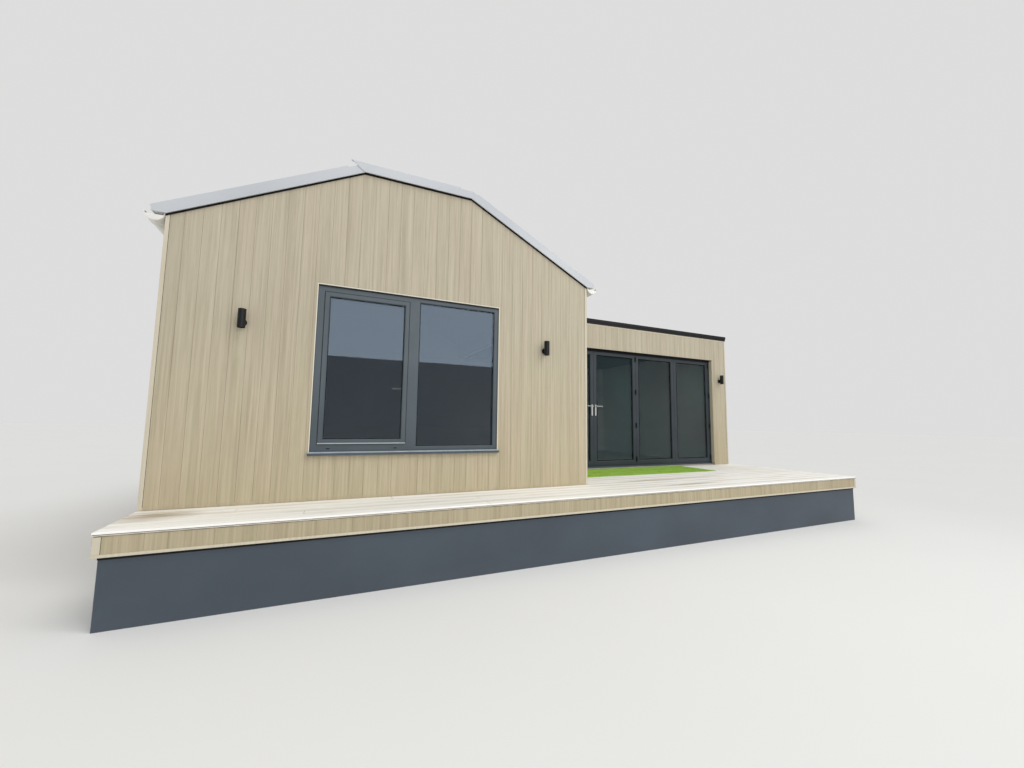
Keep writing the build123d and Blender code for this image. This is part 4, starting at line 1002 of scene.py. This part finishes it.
# A dark ring around the sash stands for the shadow in the gap between the sash and the frame.
sash_shadow_face, sash_shadow_stand = 0.004, 0.004
sash_shadow_ring = ring(
    "sash_shadow_ring",
    (sash_low.x - sash_shadow_face, sash_low.y + sash_shadow_stand, sash_low.z - sash_shadow_face),
    (sash_high.x + sash_shadow_face, window_low.y, sash_high.z + sash_shadow_face),
    sash_shadow_face,
)
finished(sash_shadow_ring, rubber_finish)

drip_bar_proud, drip_bar_height, drip_bar_edge = 0.010, 0.012, 0.001
drip_bar_rise = (0, -0.5, 0.87)
drip_bar = block("sash_drip_bar", (sash_low.x, sash_low.y - drip_bar_proud, sash_low.z),
                 (sash_high.x, sash_low.y, sash_low.z + drip_bar_height))
sawn(drip_bar, (0, sash_low.y - drip_bar_proud, sash_low.z + drip_bar_height / 2), drip_bar_rise)
eased(drip_bar, lambda a, b: a.y < sash_low.y and b.y < sash_low.y and a.x != b.x, drip_bar_edge)
# The drip bar is painted a light grey, as a painted reflection of the sky on its upward face.
drip_bar_highlight_finish = two_tone("drip_bar_highlight", 0.35, (150, 159, 165), (176, 184, 188), (6.0, 90.0, 90.0))
finished(drip_bar, drip_bar_highlight_finish)

cap_length, cap_height, cap_proud, cap_edge = 0.034, 0.008, 0.003, 0.0012
cap_inset, cap_rise = 0.085, 0.026
z_cap = window_low.z + cap_rise
finished(bars("drain_caps", [
    ((cap_x, window_low.y - cap_proud, z_cap), (cap_x + cap_length, window_low.y, z_cap + cap_height))
    for cap_x in (sash_low.x + cap_inset, sash_high.x - cap_inset - cap_length)
], cap_edge), rubber_finish)

bead_face, bead_proud = 0.009, 0.002
head_face, flashing_shadow_hang = 0.008, 0.014
flashing_depth, flashing_edge = 0.0015, 0.0004
y_bead = y_front - bead_proud
bead_finish = smooth_face("composite_bead", (221, 215, 199), (231, 226, 212))
composite_bars("window_beads", (
    ((window_low.x - bead_face, y_bead, z_window_sill), (window_low.x, y_front, window_high.z)),
    ((window_high.x, y_bead, z_window_sill), (window_high.x + bead_face, y_front, window_high.z)),
    ((window_low.x - bead_face, y_bead, window_high.z),
     (window_high.x + bead_face, y_front, window_high.z + bead_face)),
), strip_edge, bead_finish)
# The black head flashing also stands for the shadow over the frame's head.
finished(bars("window_head_flashing_shadow", (
    ((window_low.x, y_bead, window_high.z - flashing_shadow_hang),
     (window_high.x, y_bead + flashing_depth, window_high.z)),
    ((window_low.x, y_bead + flashing_depth, window_high.z - flashing_depth),
     (window_high.x, window_low.y, window_high.z)),
), flashing_edge), edge_finish)


# The folding door is powder-coated in the same anthracite, painted darker as shade in its deep reveal.
# Rubber seals hold the glass in each leaf, composite lines the jambs, and a black flashing closes the
# head and stands for the shadow there.
# The door's anthracite is painted darker, as painted shade in its deep reveal.
shaded_door_finish = powder_coat("door_paint", 0.45, (37, 46, 54), (44, 54, 62))
covered(shaded_door_finish, "door_frame", "door_leaf_1", "door_leaf_2", "door_leaf_3", "door_leaf_4")

leaf_count = 4
door_recess = 0.070
stile_face, top_rail_face, bottom_rail_face = 0.072, 0.058, 0.074
door_glass_set = 0.015
door_gasket_face = 0.013
y_door = y_wing + door_recess
leaf_low, leaf_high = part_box("door_leaf_1")
leaf_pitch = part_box("door_leaf_2")[0].x - leaf_low.x
door_gaskets = ring(
    "door_gaskets",
    (leaf_low.x + stile_face, y_door + bead_depth, leaf_low.z + bottom_rail_face),
    (leaf_high.x - stile_face, y_door + door_glass_set, leaf_high.z - top_rail_face),
    door_gasket_face,
)
repeated(door_gaskets, leaf_count, (leaf_pitch, 0, 0))
finished(door_gaskets, rubber_finish)

jamb_depth, jamb_edge, reveal_clear = 0.003, 0.0008, 0.001
y_reveal = y_wing + reveal_clear
z_reveal = door_high.z - flashing_depth
composite_bars("jamb_linings", (
    ((door_low.x, y_reveal, z_floor), (door_low.x + jamb_depth, y_door, z_reveal)),
    ((door_high.x - jamb_depth, y_reveal, z_floor), (door_high.x, y_door, z_reveal)),
), jamb_edge)

head_strip_face, head_strip_proud = 0.032, 0.003
y_head = y_wing - bead_proud
# The black flashing and soffit also stand for the shadow in the head of the reveal.
finished(bars("door_head_flashing_shadow", (
    ((door_low.x, y_head, z_reveal), (door_high.x, y_door, door_high.z)),
    ((door_low.x - bead_face, y_head, door_high.z),
     (door_high.x + bead_face, y_wing, door_high.z + head_face)),
    ((door_low.x, y_door - head_strip_proud, door_high.z - head_strip_face), (door_high.x, y_door, z_reveal)),
), flashing_edge), edge_finish)


# The panes are sealed units of tinted glass, blue-grey in the window and green in the door. They let
# the rooms show and mirror what stands in front of them.
def sealed_glass(name, light, dark, cover, bend, mirror):
    """Glass that shows the room behind it and mirrors what stands before it."""
    material = two_tone(name, 0.015, dark, light, 0.9, 2.0, sheen=mirror, span=(0.35, 0.65))
    preset(material, {"Specular Tint": tint(208, 231, 255), "Alpha": cover, "IOR": bend})
    return material


covered(sealed_glass("window_glass", (12, 18, 22), (5, 10, 14), 0.42, 1.65, 0.85), "window_glass")
covered(sealed_glass("door_glass", (20, 62, 58), (8, 32, 30), 0.26, 1.6, 0.75), "door_glass")


# Lever handles and their plates are satin stainless steel with the grain along their length. A lock
# cylinder stands out of each outer plate, under the lever. The window's inside handle is white.
handle_finish = finish("handle_metal", 0.30, (205, 205, 202), 1.0)
handle_grain = mottle(handle_finish, (20.0, 20.0, 700.0), 2.0)
painted(handle_finish, shaded(handle_finish, handle_grain, ((0.3, (190, 190, 188)), (0.7, (218, 218, 215)))))
roughened(handle_finish, handle_grain, 0.24, 0.38)
covered(handle_finish, "door_handles")
covered(powder_coat("window_handle_paint", 0.35, (243, 243, 240), (250, 250, 248)), "window_handle")

plate_count, plate_depth, plate_shift = 2, 0.010, 0.038
cylinder_level = 0.975
cylinder_radius, cylinder_proud, cylinder_sides = 0.0085, 0.004, 20
rim_face, rim_raised = 0.0015, 0.0008
key_face, key_sunk = 0.0035, 0.0014
x_meeting = leaf_high.x + (leaf_pitch - (leaf_high.x - leaf_low.x)) / 2
bpy.ops.mesh.primitive_cylinder_add(
    vertices=cylinder_sides,
    radius=cylinder_radius,
    depth=cylinder_proud,
    location=(x_meeting - plate_shift, y_door - plate_depth - cylinder_proud / 2, z_floor + cylinder_level),
    rotation=(math.radians(90), 0, 0),
)
lock_cylinders = bpy.context.object
lock_cylinders.name = "lock_cylinders"
settled(rotation=True)
picked(lock_cylinders, lambda side: side.normal.y < -0.9)
bpy.ops.object.mode_set(mode="EDIT")
bpy.ops.mesh.inset(thickness=rim_face)
bpy.ops.transform.translate(value=(0, -rim_raised, 0))
bpy.ops.mesh.inset(thickness=key_face)
bpy.ops.transform.translate(value=(0, key_sunk, 0))
bpy.ops.object.mode_set(mode="OBJECT")
repeated(lock_cylinders, plate_count, (2 * plate_shift, 0, 0))
finished(lock_cylinders, handle_finish)


# The hinges that join the leaves are black cast metal, four down each joint. Each is a barrel
# between two flaps, which lie flat on the faces of the two frames.
hinge_finish = two_tone("hinge_metal", 0.4, (22, 22, 24), (32, 32, 34), 60.0, sheen=0.25)
embossed(hinge_finish, mottle(hinge_finish, 300.0), 0.15, 0.0003)
covered(hinge_finish, "door_hinges")


# The wall lights are black powder-coated tubes on a round plate, lit upwards and downwards. A
# frosted lens is set back in each end.
light_finish = two_tone("light_paint", 0.40, (14, 15, 18), (23, 24, 28), 80.0, sheen=0.25)
embossed(light_finish, mottle(light_finish, 700.0, 1.0), 0.12, 0.0002)
covered(light_finish, "wall_lights")

light_level, light_standoff, light_half = 1.745, 0.070, 0.090
light_inset, light_pier = 0.655, 0.202
lens_radius, lens_depth, lens_edge = 0.0285, 0.004, 0.0012
lens_recess, lens_sides = 0.016, 28
lenses = []
for light_x, wall_y in (
    (x_left + light_inset, y_front),
    (x_right - light_inset, y_front),
    (x_wing - light_pier, y_wing),
):
    for end in (-1, 1):
        lens_z = z_deck + light_level + end * (light_half - lens_recess + lens_depth / 2)
        lens_place = (light_x, wall_y - light_standoff, lens_z)
        bpy.ops.mesh.primitive_cylinder_add(
            vertices=lens_sides, radius=lens_radius, depth=lens_depth, location=lens_place
        )
        settled()
        lenses.append(bpy.context.object)
        worked(lenses[-1], bpy.ops.mesh.bevel, offset=lens_edge, segments=2)
lens_finish = two_tone("light_lens", 0.5, (219, 219, 213), (233, 233, 228), 120.0)
finished(joined("light_lenses", lenses), lens_finish)
